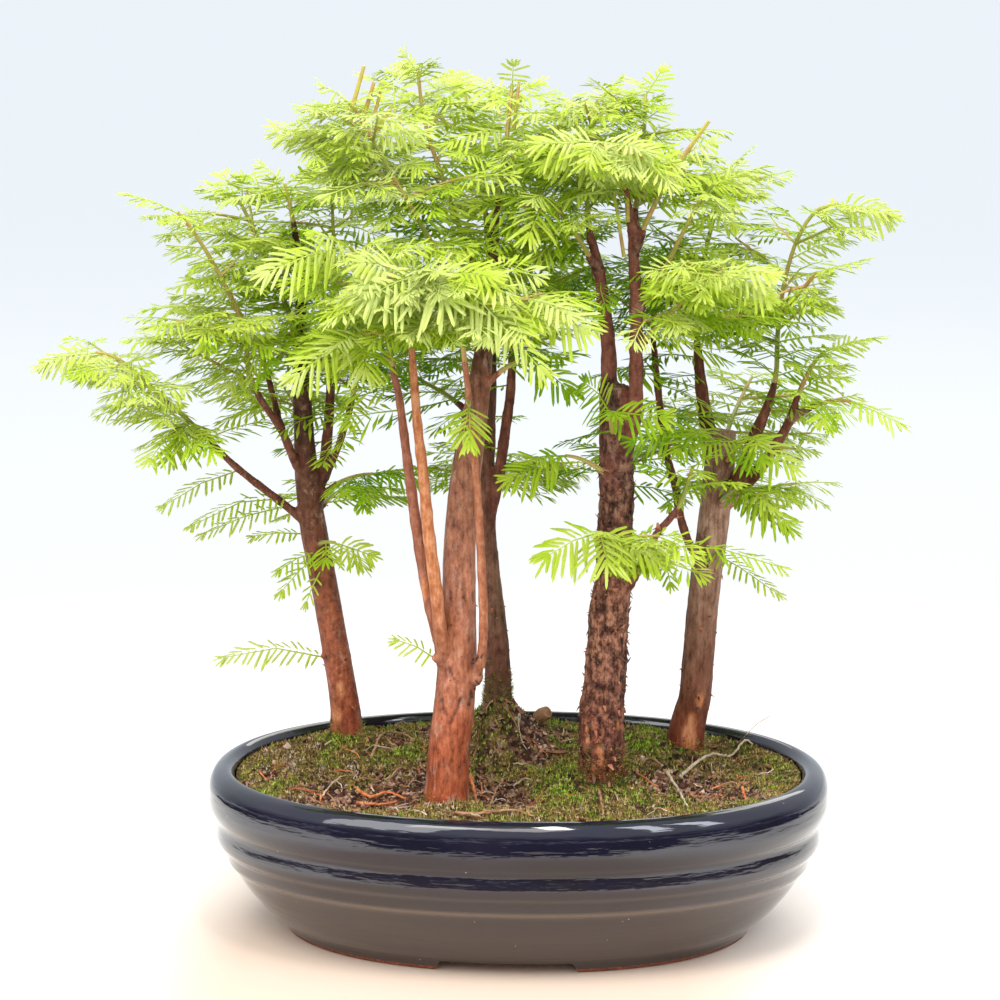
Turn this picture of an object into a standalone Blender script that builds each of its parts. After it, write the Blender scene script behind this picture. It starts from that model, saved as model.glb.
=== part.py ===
"""Dawn redwood bonsai forest: five trees planted in one oval glazed tray.

Metres, +Z up. While the forest is built, the origin is the tray's middle on the surface that it stands on.
At the end it moves to the middle of the whole forest's outer box, still on that surface.
Run with: blender --background --python part.py
"""

import math
import random

import bmesh
import bpy
from mathutils import Matrix, Vector
from mathutils.bvhtree import BVHTree

MM = 0.001
UP = Vector((0, 0, 1))
CLEARANCE = 0.35 * MM  # air kept between two pieces that touch

# The tray: an oval of 260 by 196 mm over its rim and 68.5 mm high.
OVAL_RATIO = 0.755  # width to length
OVAL_POWER = 2.15  # a little squarer than an ellipse
FLOOR_TOP = 11 * MM
FOOT_HEIGHT = 3.8 * MM
FOOT_GAP_WIDTH = 60 * MM
TRAY_SEGMENTS = 34
DRAIN_RADIUS = 8 * MM
DRAIN_OFFSET = 48 * MM
SCREEN_SIDE = 26 * MM
SCREEN_THICKNESS = 1.2 * MM

# Radius and height down the tray's side, in millimetres: floor, inner wall, rolled rim, three bands, foot.
TRAY_PROFILE = [
    (0, 11), (92, 11), (103, 17), (114, 50), (118.2, 62), (119.4, 66.3), (122.4, 68.5), (127, 66.6),
    (130, 60.5), (129.6, 53.5), (127.4, 49), (127.6, 43.5), (124.4, 37.5), (123.6, 31.5), (119.6, 25),
    (115, 18.5), (108, 10.5), (100.5, 5.4), (96.5, 0), (88, 0), (86.5, 3.8), (0, 3.8),
]

# The soil's own hills and hollows: where from the middle, how high and how wide, in millimetres.
SOIL_LEVEL = 64.5 * MM
SOIL_FORMS = [
    (-76, 44, 6, 20), (-25, -36, 3, 14), (-13, 54, 15, 22), (38, -6, 6, 20), (66, 42, 6, 18),
    (-6, -24, -5, 11), (-52, -32, -4, 13), (92, 34, -6, 22), (20, 20, -3, 14), (-100, 0, 2, 20),
]
SOIL_RINGS = (0.22, 0.44, 0.66, 0.86, 1.0)
TRUNK_DEPTH = 22 * MM  # how far a trunk stands in the soil
TRUNK_STEP = 24 * MM

# The front view that places are read from: a picture of 1000 by 1000 pixels.
VIEW_CENTRE = 500
VIEW_SCALE = 2412  # pixels to a metre at the forest's middle
VIEW_DISTANCE = 1.5
VIEW_TURN = math.radians(4)
VIEW_RISE = math.radians(10.35)
VIEW_AIM = (-7.6 * MM, 180.8 * MM)  # across and height of the point at the picture's middle

# Needles of the leaf sprays.
NEEDLE_SLANT = math.radians(28)  # forwards from square to the rib
NEEDLE_LENGTH = 10.5 * MM
NEEDLE_PITCH = 5.3 * MM
RIB_HALF_WIDTH = 0.55 * MM
RIB_THICKNESS = 0.9 * MM
STALK = 4 * MM
TIP_REACH = 18 * MM  # how far a shoot's last spray reaches past its stem
SPRAY_TRIES = 36


def sight(across, down, back):
    """The point seen at that pixel of the front view, that many millimetres behind the tray's middle."""
    back = back * MM
    lens = VIEW_SCALE * VIEW_DISTANCE
    rise = (VIEW_CENTRE - down) / lens
    c, s = math.cos(VIEW_RISE), math.sin(VIEW_RISE)
    height = (rise * (VIEW_DISTANCE + back * c) - back * s) / (c + rise * s)
    distance = VIEW_DISTANCE + back * c - height * s
    sideways = VIEW_AIM[0] + (across - VIEW_CENTRE) / lens * distance
    right = Vector((math.cos(VIEW_TURN), math.sin(VIEW_TURN), 0))
    away = Vector((-math.sin(VIEW_TURN), math.cos(VIEW_TURN), 0))
    return right * sideways + away * back + UP * (VIEW_AIM[1] + height)


# The trees. A trunk's points give pixels across and down, millimetres back, and radius in millimetres.
# A limb gives how many millimetres of it are bare wood, its radius at the root in millimetres, and its points.
# What follows the bare wood is a green leafy shoot. A limb under a shoot's name forks from that green shoot.
TREES = {
    "left": {
        "trunk": [(347, 738, 35, 7.3), (345, 705, 35, 6.2), (335, 645, 33, 5.8), (324, 585, 32, 5.7),
                  (313, 525, 31, 5.6), (307, 480, 30, 5.1), (304, 430, 29, 4.3), (301, 380, 28, 3.6),
                  (300, 330, 27, 2.9), (302, 285, 26, 2.3)],
        "crown": [(302, 285, 26), (297, 245, 25), (290, 205, 25), (280, 165, 27)],
        "limbs": {
            "low": (62, 2.4, [(313, 528, 31), (281, 502, 27), (236, 467, 19), (204, 435, 13), (163, 398, 5),
                              (112, 356, -3), (52, 352, -9)]),
            "lowside": (0, 1.1, [(190, 422, 10), (176, 440, -1), (160, 462, -11), (146, 474, -19)]),
            "mid": (50, 2.3, [(307, 478, 30), (296, 464, 25), (281, 429, 19), (261, 400, 14), (249, 372, 10),
                              (244, 330, 5), (225, 285, -1), (192, 236, -7), (146, 192, -13)]),
            "midlow": (0, 1.1, [(246, 345, 7), (222, 332, -5), (192, 322, -17), (158, 318, -25)]),
            "midback": (26, 1.6, [(281, 429, 19), (271, 388, 29), (258, 345, 43), (232, 300, 59), (204, 262, 73)]),
            "crownleft": (12, 1.7, [(300, 345, 27), (284, 300, 31), (262, 250, 37), (238, 205, 43), (210, 176, 47)]),
            "second": (78, 2.9, [(313, 515, 31), (323, 470, 33), (328, 430, 35), (331, 380, 36), (332, 330, 37),
                                 (334, 280, 39), (333, 225, 42), (330, 165, 46)]),
            "twig": (40, 1.6, [(324, 478, 33), (337, 450, 29), (348, 416, 25), (354, 391, 23), (362, 355, 17),
                               (366, 315, 9)]),
            "rightlow": (13, 1.4, [(316, 503, 31), (340, 482, 27), (375, 474, 21), (408, 488, 13)]),
            "frontlow": (13, 1.4, [(318, 556, 31), (328, 549, 19), (352, 550, 7), (382, 556, -3)]),
            "footspray": (10, 1.3, [(331, 660, 33), (318, 655, 30), (280, 646, 25), (232, 646, 21)]),
            "back": (16, 1.7, [(305, 440, 29), (300, 415, 45), (285, 388, 68), (264, 364, 91)]),
            "backlow": (14, 1.5, [(312, 520, 31), (328, 500, 49), (345, 488, 67), (358, 486, 85)]),
        },
    },
    "front": {
        "trunk": [(446, 808, -40, 8.6), (449, 748, -40, 8.5), (454, 708, -40, 8.4), (457, 665, -38, 7.8),
                  (459, 606, -38, 7.1), (460, 538, -36, 6.3), (465, 480, -36, 6.2), (473, 430, -34, 5.4),
                  (480, 380, -34, 4.5), (485, 340, -32, 3.7), (489, 300, -32, 3.0), (492, 262, -30, 2.4)],
        "crown": [(492, 262, -30), (498, 200, -30), (507, 135, -28), (514, 64, -26)],
        "limbs": {
            "orange": (138, 2.7, [(446, 664, -40), (440, 628, -48), (436, 590, -50), (429, 535, -52),
                                  (423, 473, -52), (418, 430, -54), (414, 380, -54), (411, 338, -56),
                                  (413, 305, -68), (422, 290, -90), (434, 288, -116)]),
            "brown": (120, 2.5, [(444, 652, -38), (434, 620, -42), (427, 590, -42), (418, 538, -42),
                                 (410, 480, -42), (404, 433, -42), (399, 397, -42), (391, 361, -44),
                                 (382, 315, -50), (365, 272, -60), (344, 240, -70), (318, 228, -78)]),
            "brownleft": (0, 1.2, [(386, 336, -46), (374, 332, -60), (358, 334, -72), (342, 342, -84)]),
            "frontright": (142, 2.6, [(468, 690, -40), (479, 668, -48), (483, 640, -52), (483, 600, -52),
                                      (480, 538, -52), (476, 476, -52), (470, 410, -54), (466, 372, -56),
                                      (464, 340, -62), (480, 312, -74), (520, 300, -90), (566, 302, -104)]),
            "hang": (8, 1.5, [(470, 410, -54), (473, 402, -64), (477, 408, -78), (478, 430, -90)]),
            "peakleft": (40, 2.1, [(485, 345, -32), (462, 300, -36), (430, 240, -40), (392, 175, -44),
                                   (356, 115, -46), (326, 76, -48)]),
            "outerleft": (0, 1.2, [(400, 188, -42), (370, 168, -38), (335, 140, -32), (290, 124, -28)]),
            "peakmid": (26, 2.0, [(489, 305, -32), (466, 245, -20), (443, 180, -12), (424, 118, -8), (416, 50, -6)]),
            "knob": (14, 1.5, [(450, 668, -40), (437, 660, -44), (424, 650, -48), (408, 642, -52),
                               (392, 640, -56)]),
            "midright": (13, 1.5, [(478, 392, -34), (505, 368, -42), (530, 358, -50), (556, 356, -58)]),
        },
    },
    "back": {
        "trunk": [(497, 724, 47, 6.8), (498, 690, 47, 6.3), (498, 645, 46, 5.6), (494, 591, 45, 5.1),
                  (490, 540, 44, 4.8), (488, 480, 44, 4.2), (488, 430, 43, 3.7), (489, 385, 42, 3.3),
                  (490, 330, 41, 2.7), (492, 280, 40, 2.2)],
        "crown": [(492, 280, 40), (486, 215, 44), (476, 150, 50), (462, 76, 54)],
        "limbs": {
            "fork": (102, 2.6, [(491, 535, 44), (492, 512, 41), (499, 475, 39), (505, 433, 37), (510, 397, 36),
                                (512, 366, 35), (514, 320, 35), (518, 285, 36), (528, 235, 38), (542, 180, 42),
                                (556, 124, 46)]),
            "left": (24, 1.8, [(488, 440, 43), (470, 414, 52), (445, 394, 62), (415, 376, 74), (390, 352, 84)]),
            "low": (14, 1.6, [(490, 505, 44), (493, 482, 62), (502, 460, 84), (520, 445, 106)]),
            "high": (14, 1.6, [(489, 390, 42), (480, 352, 60), (466, 312, 84), (452, 284, 108)]),
            "right": (14, 1.6, [(490, 335, 41), (512, 296, 58), (542, 256, 80), (572, 222, 98)]),
        },
    },
    "middle": {
        "trunk": [(603, 778, -22, 9.6), (601, 724, -22, 9.1), (606, 665, -21, 8.5), (610, 607, -20, 8.0),
                  (614, 577, -20, 7.7), (616, 519, -19, 7.2), (616, 460, -18, 6.9), (615, 420, -17, 6.5),
                  (614, 386, -17, 6.1)],
        "limbs": {
            "leaderleft": (104, 3.3, [(613, 470, -18), (611, 425, -15), (609, 380, -13), (608, 342, -13),
                                      (603, 300, -13), (597, 260, -13), (590, 232, -13), (587, 195, -12),
                                      (590, 145, -10), (600, 82, -8)]),
            "leaderright": (118, 3.7, [(620, 470, -19), (629, 440, -22), (635, 412, -23), (636, 375, -23),
                                       (636, 314, -22), (634, 259, -22), (629, 208, -24), (621, 176, -34),
                                       (606, 150, -58), (588, 134, -90)]),
            "archleft": (11, 1.7, [(599, 272, -13), (577, 236, -30), (553, 202, -48), (532, 180, -64)]),
            "greenhigh": (9, 1.9, [(634, 252, -22), (650, 214, -24), (675, 168, -26), (696, 136, -28),
                                   (710, 118, -30)]),
            "greenright": (8, 1.9, [(636, 312, -22), (662, 274, -25), (687, 225, -30), (714, 184, -36),
                                    (748, 158, -42)]),
            "top": (9, 1.7, [(632, 230, -22), (640, 180, -6), (644, 134, 4), (646, 74, 10)]),
            "shoulder": (9, 1.7, [(636, 350, -22), (672, 312, -46), (714, 276, -66), (758, 258, -82)]),
            "handlow": (14, 1.6, [(612, 578, -20), (607, 563, -34), (602, 548, -54), (597, 536, -76)]),
            "midfan": (12, 1.6, [(615, 444, -18), (612, 428, -30), (609, 412, -46), (604, 402, -64)]),
            "wingleft": (13, 1.6, [(614, 485, -18), (598, 468, -30), (570, 456, -42), (534, 458, -56)]),
            "lowright": (47, 2.2, [(618, 602, -21), (634, 577, -24), (643, 560, -25), (655, 536, -25),
                                   (677, 510, -25), (688, 482, -30), (697, 452, -38)]),
            "lowout": (7, 1.2, [(655, 536, -25), (684, 540, -38), (724, 556, -52), (762, 582, -62)]),
            "back": (14, 1.6, [(615, 505, -19), (626, 476, 4), (640, 448, 30), (650, 430, 54)]),
        },
    },
    "right": {
        "trunk": [(684, 752, 26, 8.0), (689, 720, 26, 7.4), (695, 695, 24, 6.9), (700, 636, 24, 6.6),
                  (706, 577, 22, 6.5), (714, 519, 22, 6.6), (718, 478, 22, 6.6), (721, 450, 20, 6.1),
                  (723, 430, 20, 5.6)],
        "limbs": {
            "leader": (56, 3.2, [(716, 465, 22), (709, 432, 24), (703, 400, 26), (699, 365, 26), (697, 325, 28),
                                 (702, 270, 32), (716, 210, 36), (734, 150, 40)]),
            "rightup": (62, 3.3, [(716, 507, 22), (730, 498, 18), (741, 475, 14), (753, 440, 12), (768, 405, 10),
                                  (776, 375, 10), (778, 330, 10), (785, 280, 8), (798, 238, 4), (818, 210, 0),
                                  (850, 204, -4), (880, 214, -8)]),
            "rightmid": (0, 1.2, [(779, 318, 10), (800, 292, -4), (822, 268, -18), (842, 252, -28)]),
            "rightlow": (56, 2.7, [(728, 496, 18), (750, 480, 10), (770, 454, 6), (788, 424, 4), (799, 393, 2),
                                   (816, 360, -2), (840, 342, -6), (862, 342, -12)]),
            "rightout": (13, 1.5, [(790, 420, 4), (814, 406, 0), (842, 400, -6), (868, 408, -12)]),
            "leftstem": (104, 2.1, [(706, 562, 22), (691, 547, 18), (681, 519, 14), (676, 489, 14),
                                    (668, 460, 14), (662, 424, 14), (656, 370, 14), (653, 325, 14),
                                    (657, 285, 18), (664, 242, 24)]),
            "frontfan": (12, 1.6, [(721, 452, 20), (712, 440, 6), (702, 430, -12), (694, 426, -32)]),
            "fanright": (12, 1.6, [(719, 472, 22), (732, 455, 6), (743, 438, -12), (749, 428, -34)]),
            "frontlow": (12, 1.5, [(715, 510, 22), (726, 496, 6), (742, 488, -10), (762, 500, -26)]),
            "back": (15, 1.7, [(721, 455, 20), (730, 424, 42), (745, 390, 68), (763, 358, 94)]),
            "backlow": (15, 1.6, [(712, 535, 22), (722, 508, 42), (738, 484, 64), (758, 470, 84)]),
        },
    },
}


def clear_scene():
    for obj in list(bpy.data.objects):
        bpy.data.objects.remove(obj)


def collection(name, shown=True):
    made = bpy.data.collections.new(name)
    made.hide_render = not shown
    bpy.context.scene.collection.children.link(made)
    return made


def material(name, colour, roughness, metallic=0.0):
    made = bpy.data.materials.new(name)
    made.use_nodes = True
    shader = made.node_tree.nodes["Principled BSDF"]
    shader.inputs["Base Color"].default_value = (*colour, 1)
    shader.inputs["Roughness"].default_value = roughness
    shader.inputs["Metallic"].default_value = metallic
    made.diffuse_color = (*colour, 1)
    return made


def mesh_object(name, mesh, into, finish=None):
    obj = bpy.data.objects.new(name, mesh)
    into.objects.link(obj)
    if finish:
        mesh.materials.clear()
        mesh.materials.append(finish)
    return obj


def evaluated_mesh(obj):
    bpy.context.view_layer.update()
    graph = bpy.context.evaluated_depsgraph_get()
    return bpy.data.meshes.new_from_object(obj.evaluated_get(graph), depsgraph=graph)


def as_helper(obj):
    obj.hide_render = True
    obj.display_type = "WIRE"
    return obj


def boolean(obj, operation, other, solver="EXACT"):
    cut = obj.modifiers.new(operation.lower(), "BOOLEAN")
    cut.operation = operation
    cut.solver = solver
    if isinstance(other, bpy.types.Collection):
        cut.operand_type = "COLLECTION"
        cut.collection = other
    else:
        cut.object = other


def united(name, pieces, into, finish, solver):
    """One object that is the Boolean union of all the pieces, which are then removed."""
    joined = bpy.data.collections.new(name + "_pieces")
    bpy.context.scene.collection.children.link(joined)
    for piece in pieces[1:]:
        for home in list(piece.users_collection):
            home.objects.unlink(piece)
        joined.objects.link(piece)
    if len(pieces) > 1:
        boolean(pieces[0], "UNION", joined, solver)
    mesh = evaluated_mesh(pieces[0])
    for piece in pieces:
        bpy.data.objects.remove(piece)
    bpy.data.collections.remove(joined)
    return mesh_object(name, mesh, into, finish)


def smooth_path(points, step):
    """Points every step along one smooth curve through the given points, both ends included."""
    ends = [2 * points[0] - points[1], *points, 2 * points[-1] - points[-2]]
    fine = []
    for a, b, c, d in zip(ends, ends[1:], ends[2:], ends[3:]):
        for k in range(24):
            t = k / 24
            fine.append(0.5 * (2 * b + (c - a) * t + (2 * a - 5 * b + 4 * c - d) * t**2
                               + (3 * b - a - 3 * c + d) * t**3))
    fine.append(points[-1])
    lengths = [0.0]
    for a, b in zip(fine, fine[1:]):
        lengths.append(lengths[-1] + (b - a).length)
    count = max(2, round(lengths[-1] / step))
    return [point_along(fine, lengths, lengths[-1] * k / count) for k in range(count + 1)]


def point_along(points, lengths, want):
    for k in range(1, len(points)):
        if lengths[k] >= want:
            share = (want - lengths[k - 1]) / max(lengths[k] - lengths[k - 1], 1e-9)
            return points[k - 1].lerp(points[k], share)
    return points[-1].copy()


def path_between(points, start, end, step):
    """The stretch of a dense path from one length to another, resampled, with its direction at both ends."""
    lengths = [0.0]
    for a, b in zip(points, points[1:]):
        lengths.append(lengths[-1] + (b - a).length)
    end = min(end, lengths[-1])
    count = max(1, round((end - start) / step))
    return [point_along(points, lengths, start + (end - start) * k / count) for k in range(count + 1)]


def path_length(points):
    return sum((b - a).length for a, b in zip(points, points[1:]))


def tube(name, path, radii, into, fineness):
    """A tapered stem as a closed mesh. Fineness 0 has 4 sides, one of them level on top, 1 has 6 and 2 has 8."""
    data = bpy.data.curves.new(name, "CURVE")
    data.dimensions = "3D"
    data.twist_mode = "Z_UP" if fineness == 0 else "MINIMUM"
    data.bevel_depth = 1.0
    data.bevel_resolution = fineness
    data.use_fill_caps = True
    line = data.splines.new("POLY")
    line.points.add(len(path) - 1)
    for point, place, radius in zip(line.points, path, radii):
        point.co = (*place, 1)
        point.radius = radius
        point.tilt = math.radians(45) if fineness == 0 else 0
    drawn = bpy.data.objects.new(name, data)
    into.objects.link(drawn)
    mesh = evaluated_mesh(drawn)
    bpy.data.objects.remove(drawn)
    welded = bmesh.new()
    welded.from_mesh(mesh)
    bmesh.ops.remove_doubles(welded, verts=welded.verts, dist=0.01 * MM)
    bmesh.ops.recalc_face_normals(welded, faces=welded.faces)
    welded.to_mesh(mesh)
    welded.free()
    return mesh_object(name, mesh, into)


def oval(radius, angle):
    """The tray's plan: where the ring of that radius passes at that angle."""
    c, s = math.cos(angle), math.sin(angle)
    bulge = (abs(c) ** OVAL_POWER + abs(s) ** OVAL_POWER) ** (-1 / OVAL_POWER)
    return Vector((radius * bulge * c, radius * bulge * s * OVAL_RATIO, 0))


def turned(name, profile, segments, into):
    """A profile of radius and height, turned to a closed body."""
    mesh = bpy.data.meshes.new(name)
    mesh.from_pydata([(r * MM, 0, z * MM) for r, z in profile], [(k, k + 1) for k in range(len(profile) - 1)], [])
    drawn = bpy.data.objects.new(name, mesh)
    into.objects.link(drawn)
    turn = drawn.modifiers.new("turn", "SCREW")
    turn.steps = segments
    turn.render_steps = segments
    turn.use_merge_vertices = True
    turn.merge_threshold = 0.01 * MM
    body = evaluated_mesh(drawn)
    bpy.data.objects.remove(drawn)
    return mesh_object(name, body, into)


def block(name, centre, size, into):
    bpy.ops.mesh.primitive_cube_add(size=1, location=centre)
    obj = bpy.context.object
    obj.name = name
    obj.scale = size
    bpy.ops.object.transform_apply(location=False, rotation=False, scale=True)
    for home in list(obj.users_collection):
        home.objects.unlink(obj)
    into.objects.link(obj)
    return as_helper(obj)


def make_tray(into, helpers, glaze):
    """The glazed stoneware tray: rolled rim, three soft bands, a foot cut through front and back, two drains."""
    tray = turned("tray", TRAY_PROFILE, TRAY_SEGMENTS, into)
    for vertex in tray.data.vertices:
        radius = math.hypot(vertex.co.x, vertex.co.y)
        place = oval(radius, math.atan2(vertex.co.y, vertex.co.x))
        vertex.co.x, vertex.co.y = place.x, place.y
    gap_height = FOOT_HEIGHT - 0.2 * MM
    gap = block("foot_gap", (0, 0, gap_height / 2 - 1 * MM), (FOOT_GAP_WIDTH, 300 * MM, gap_height + 2 * MM), helpers)
    for vertex in gap.data.vertices:
        if vertex.co.z > 0:
            vertex.co.x *= 0.86
    boolean(tray, "DIFFERENCE", gap)
    for side in (-1, 1):
        bpy.ops.mesh.primitive_cylinder_add(vertices=12, radius=DRAIN_RADIUS, depth=30 * MM,
                                            location=(side * DRAIN_OFFSET, 0, 10 * MM))
        drain = bpy.context.object
        drain.name = "drain_cutter"
        for home in list(drain.users_collection):
            home.objects.unlink(drain)
        helpers.objects.link(as_helper(drain))
        boolean(tray, "DIFFERENCE", drain)
    mesh = evaluated_mesh(tray)
    bpy.data.objects.remove(tray)
    made = mesh_object("tray", mesh, into, glaze)
    made.data.shade_smooth()
    made.data.set_sharp_from_angle(angle=math.radians(50))
    return made


def make_screen(name, side, into, helpers, plastic):
    """A square of plastic drainage mesh over each drain, under the soil."""
    centre = Vector((side * DRAIN_OFFSET, 0, FLOOR_TOP + CLEARANCE + SCREEN_THICKNESS / 2))
    plate = block(name + "_plate", centre, (SCREEN_SIDE, SCREEN_SIDE, SCREEN_THICKNESS), helpers)
    for k in (-1, 0, 1):
        slot = block(name + "_slot", centre + Vector((k * 7 * MM, 0, 0)), (4.5 * MM, 20 * MM, 5 * MM), helpers)
        boolean(plate, "DIFFERENCE", slot)
    mesh = evaluated_mesh(plate)
    mesh.transform(Matrix.Translation(centre))
    bpy.data.objects.remove(plate)
    return mesh_object(name, mesh, into, plastic)


def soil_height(x, y):
    height = SOIL_LEVEL
    for cx, cy, rise, spread in SOIL_FORMS:
        away = ((x - cx * MM) ** 2 + (y - cy * MM) ** 2) / (2 * (spread * MM) ** 2)
        height += rise * MM * math.exp(-away)
    return height


def make_soil(into, helpers, trunks, earth):
    """The root soil that fills the tray, mounded round the trunks, with a plain hole for each of them."""
    wall = [(102.3, 17.4), (113.4, 50), (116.7, 59.6), (118.4, 65.3)]
    side = [(0, 11.35), (91.8, 11.35), *wall]
    top_radius = wall[-1][0]
    profile = [(top_radius * share, 64) for share in SOIL_RINGS[:-1]]
    soil = turned("soil_body", [(0, 64), *profile, *reversed(side)], TRAY_SEGMENTS, into)
    for vertex in soil.data.vertices:
        radius = math.hypot(vertex.co.x, vertex.co.y)
        place = oval(radius, math.atan2(vertex.co.y, vertex.co.x))
        vertex.co.x, vertex.co.y = place.x, place.y
        if vertex.co.z > 62 * MM:
            edge = max(0.0, radius / (top_radius * MM) - 0.86) / 0.14
            vertex.co.z = soil_height(place.x, place.y) * (1 - edge) + (64.6 * MM) * edge
    for trunk in trunks:
        boolean(soil, "DIFFERENCE", trunk)
    for side_sign in (-1, 1):
        centre = Vector((side_sign * DRAIN_OFFSET, 0, FLOOR_TOP))
        room = block("screen_room", centre, (SCREEN_SIDE + 0.8 * MM, SCREEN_SIDE + 0.8 * MM, 4.2 * MM), helpers)
        boolean(soil, "DIFFERENCE", room)
    mesh = evaluated_mesh(soil)
    bpy.data.objects.remove(soil)
    return mesh_object("soil", mesh, into, earth)


def trunk_path(points):
    """A trunk's dense path and its radius at each point, from its foot in the soil to its top."""
    places = [sight(across, down, back) for across, down, back, _ in points]
    foot = places[0] - (places[1] - places[0]).normalized().lerp(UP, 0.6).normalized() * TRUNK_DEPTH
    path = smooth_path([foot, *places], TRUNK_STEP)
    known = [(foot.z, points[0][3] * 1.04)] + [(p.z, q[3]) for p, q in zip(places, points)]
    return path, [radius_at(known, p.z) * MM for p in path]


def radius_at(known, height):
    for (low, first), (high, second) in zip(known, known[1:]):
        if height <= high:
            share = min(1.0, max(0.0, (height - low) / (high - low)))
            return first + (second - first) * share
    return known[-1][1]


def limb_paths(limb):
    """A limb's bare wood and its green stem as two paths with radii, a hair apart where they meet."""
    bare, root_radius, points = limb
    dense = smooth_path([sight(*p) for p in points], 1 * MM)
    total = path_length(dense)
    end = max(total - TIP_REACH, (bare + 16) * MM)
    tip_radius = 1.0 * MM
    join_radius = max(1.3 * MM, root_radius * MM * (1 - 0.5 * bare * MM / total))
    if not bare:
        green = path_between(dense, 0, end, 21 * MM)
        return None, (green, taper(len(green), 1.15 * MM, tip_radius))
    wood = path_between(dense, 0, bare * MM, 24 * MM if bare > 20 else 10 * MM)
    facing = (dense[min(len(dense) - 1, round(bare) + 1)] - dense[round(bare) - 1]).normalized()
    wood.append(wood[-1] + facing * 1.0 * MM)
    start = wood[-1] + facing * CLEARANCE
    green = [start, *path_between(dense, (bare + 10) * MM, end, 21 * MM)]
    return ((wood, taper(len(wood), root_radius * MM, join_radius)),
            (green, taper(len(green), min(join_radius - 0.1 * MM, 1.3 * MM), tip_radius)))


def taper(count, first, last):
    return [first + (last - first) * k / (count - 1) for k in range(count)]


def spray_frame(direction, roll):
    across = UP.cross(direction)
    if across.length < 0.2:
        across = Vector((1, 0, 0)).cross(direction)
    across = Matrix.Rotation(roll, 3, direction) @ across.normalized()
    return across, direction.cross(across).normalized()


def spray_mesh(name, root, direction, roll, droop, pairs, size, grown=0.0):
    """One leaf spray: an arched, keeled rib whose two upper edges are cut into pointed needles.

    With grown above 0 it is the space that the spray keeps for itself, without its sunk root.
    """
    across, face = spray_frame(direction, roll)

    def rib(s):
        return root + direction * s - UP * droop * s * s

    pitch = NEEDLE_PITCH * size
    stations = [2.2 * MM if grown else 0.0] + [STALK + k * pitch for k in range(pairs + 1)]
    points, faces = [], []
    for k, s in enumerate(stations):
        thin = 1 - 0.25 * k / len(stations)
        wide = across * (RIB_HALF_WIDTH * thin + grown)
        top = face * (RIB_THICKNESS * 0.45 * thin + grown)
        keel = face * (RIB_THICKNESS * 0.55 * thin + grown)
        middle = rib(s)
        points += [middle + wide + top, middle - keel, middle - wide + top]
        a, b = 3 * (k - 1), 3 * k
        if k:
            faces += [(a, b, b + 2), (a, b + 2, a + 2)]
        if k == 1:
            faces += [(0, 1, 4), (0, 4, 3), (1, 2, 5), (1, 5, 4)]
    faces.append((2, 1, 0))
    for k in range(1, len(stations) - 1):
        middle = rib((stations[k] + stations[k + 1]) / 2)
        forward = (rib(stations[k + 1]) - rib(stations[k])).normalized()
        share = (k - 1) / max(1, pairs - 1)
        length = NEEDLE_LENGTH * size * (0.8 + 0.9 * share - 1.1 * share**2) + grown
        a, b = 3 * k, 3 * (k + 1)
        for hand, ring in ((1, (a, b, b + 1, a + 1)), (-1, (a + 1, b + 1, b + 2, a + 2))):
            reach = across * hand * math.cos(NEEDLE_SLANT) + forward * math.sin(NEEDLE_SLANT)
            tip = len(points)
            points.append(middle + reach * length - UP * 0.10 * length)
            for one, two in zip(ring, ring[1:] + ring[:1]):
                faces.append((one, two, tip))
    last = 3 * (len(stations) - 1)
    forward = (rib(stations[-1]) - rib(stations[-2])).normalized()
    points.append(rib(stations[-1]) + forward * (NEEDLE_LENGTH * 0.75 * size + grown))
    tip = len(points) - 1
    faces += [(last, last + 1, tip), (last + 1, last + 2, tip), (last + 2, last, tip)]
    mesh = bpy.data.meshes.new(name)
    mesh.from_pydata(points, [], faces)
    shape = bmesh.new()
    shape.from_mesh(mesh)
    bmesh.ops.recalc_face_normals(shape, faces=shape.faces)
    shape.to_mesh(mesh)
    shape.free()
    return mesh


class Room:
    """The space that is already taken, and whether a new piece is clear of it."""

    def __init__(self):
        self.taken = []

    def add(self, mesh, owner):
        points = [v.co.copy() for v in mesh.vertices]
        faces = [tuple(p.vertices) for p in mesh.polygons]
        low = Vector(min(p[i] for p in points) for i in range(3))
        high = Vector(max(p[i] for p in points) for i in range(3))
        self.taken.append((low, high, BVHTree.FromPolygons(points, faces), owner))

    def meets(self, mesh, ignored=()):
        points = [v.co.copy() for v in mesh.vertices]
        tree = BVHTree.FromPolygons(points, [tuple(p.vertices) for p in mesh.polygons])
        low = [min(p[i] for p in points) for i in range(3)]
        high = [max(p[i] for p in points) for i in range(3)]
        found = []
        for other_low, other_high, other, owner in self.taken:
            if owner in ignored or any(high[i] < other_low[i] or low[i] > other_high[i] for i in range(3)):
                continue
            if tree.overlap(other):
                found.append(owner)
        return found


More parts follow.
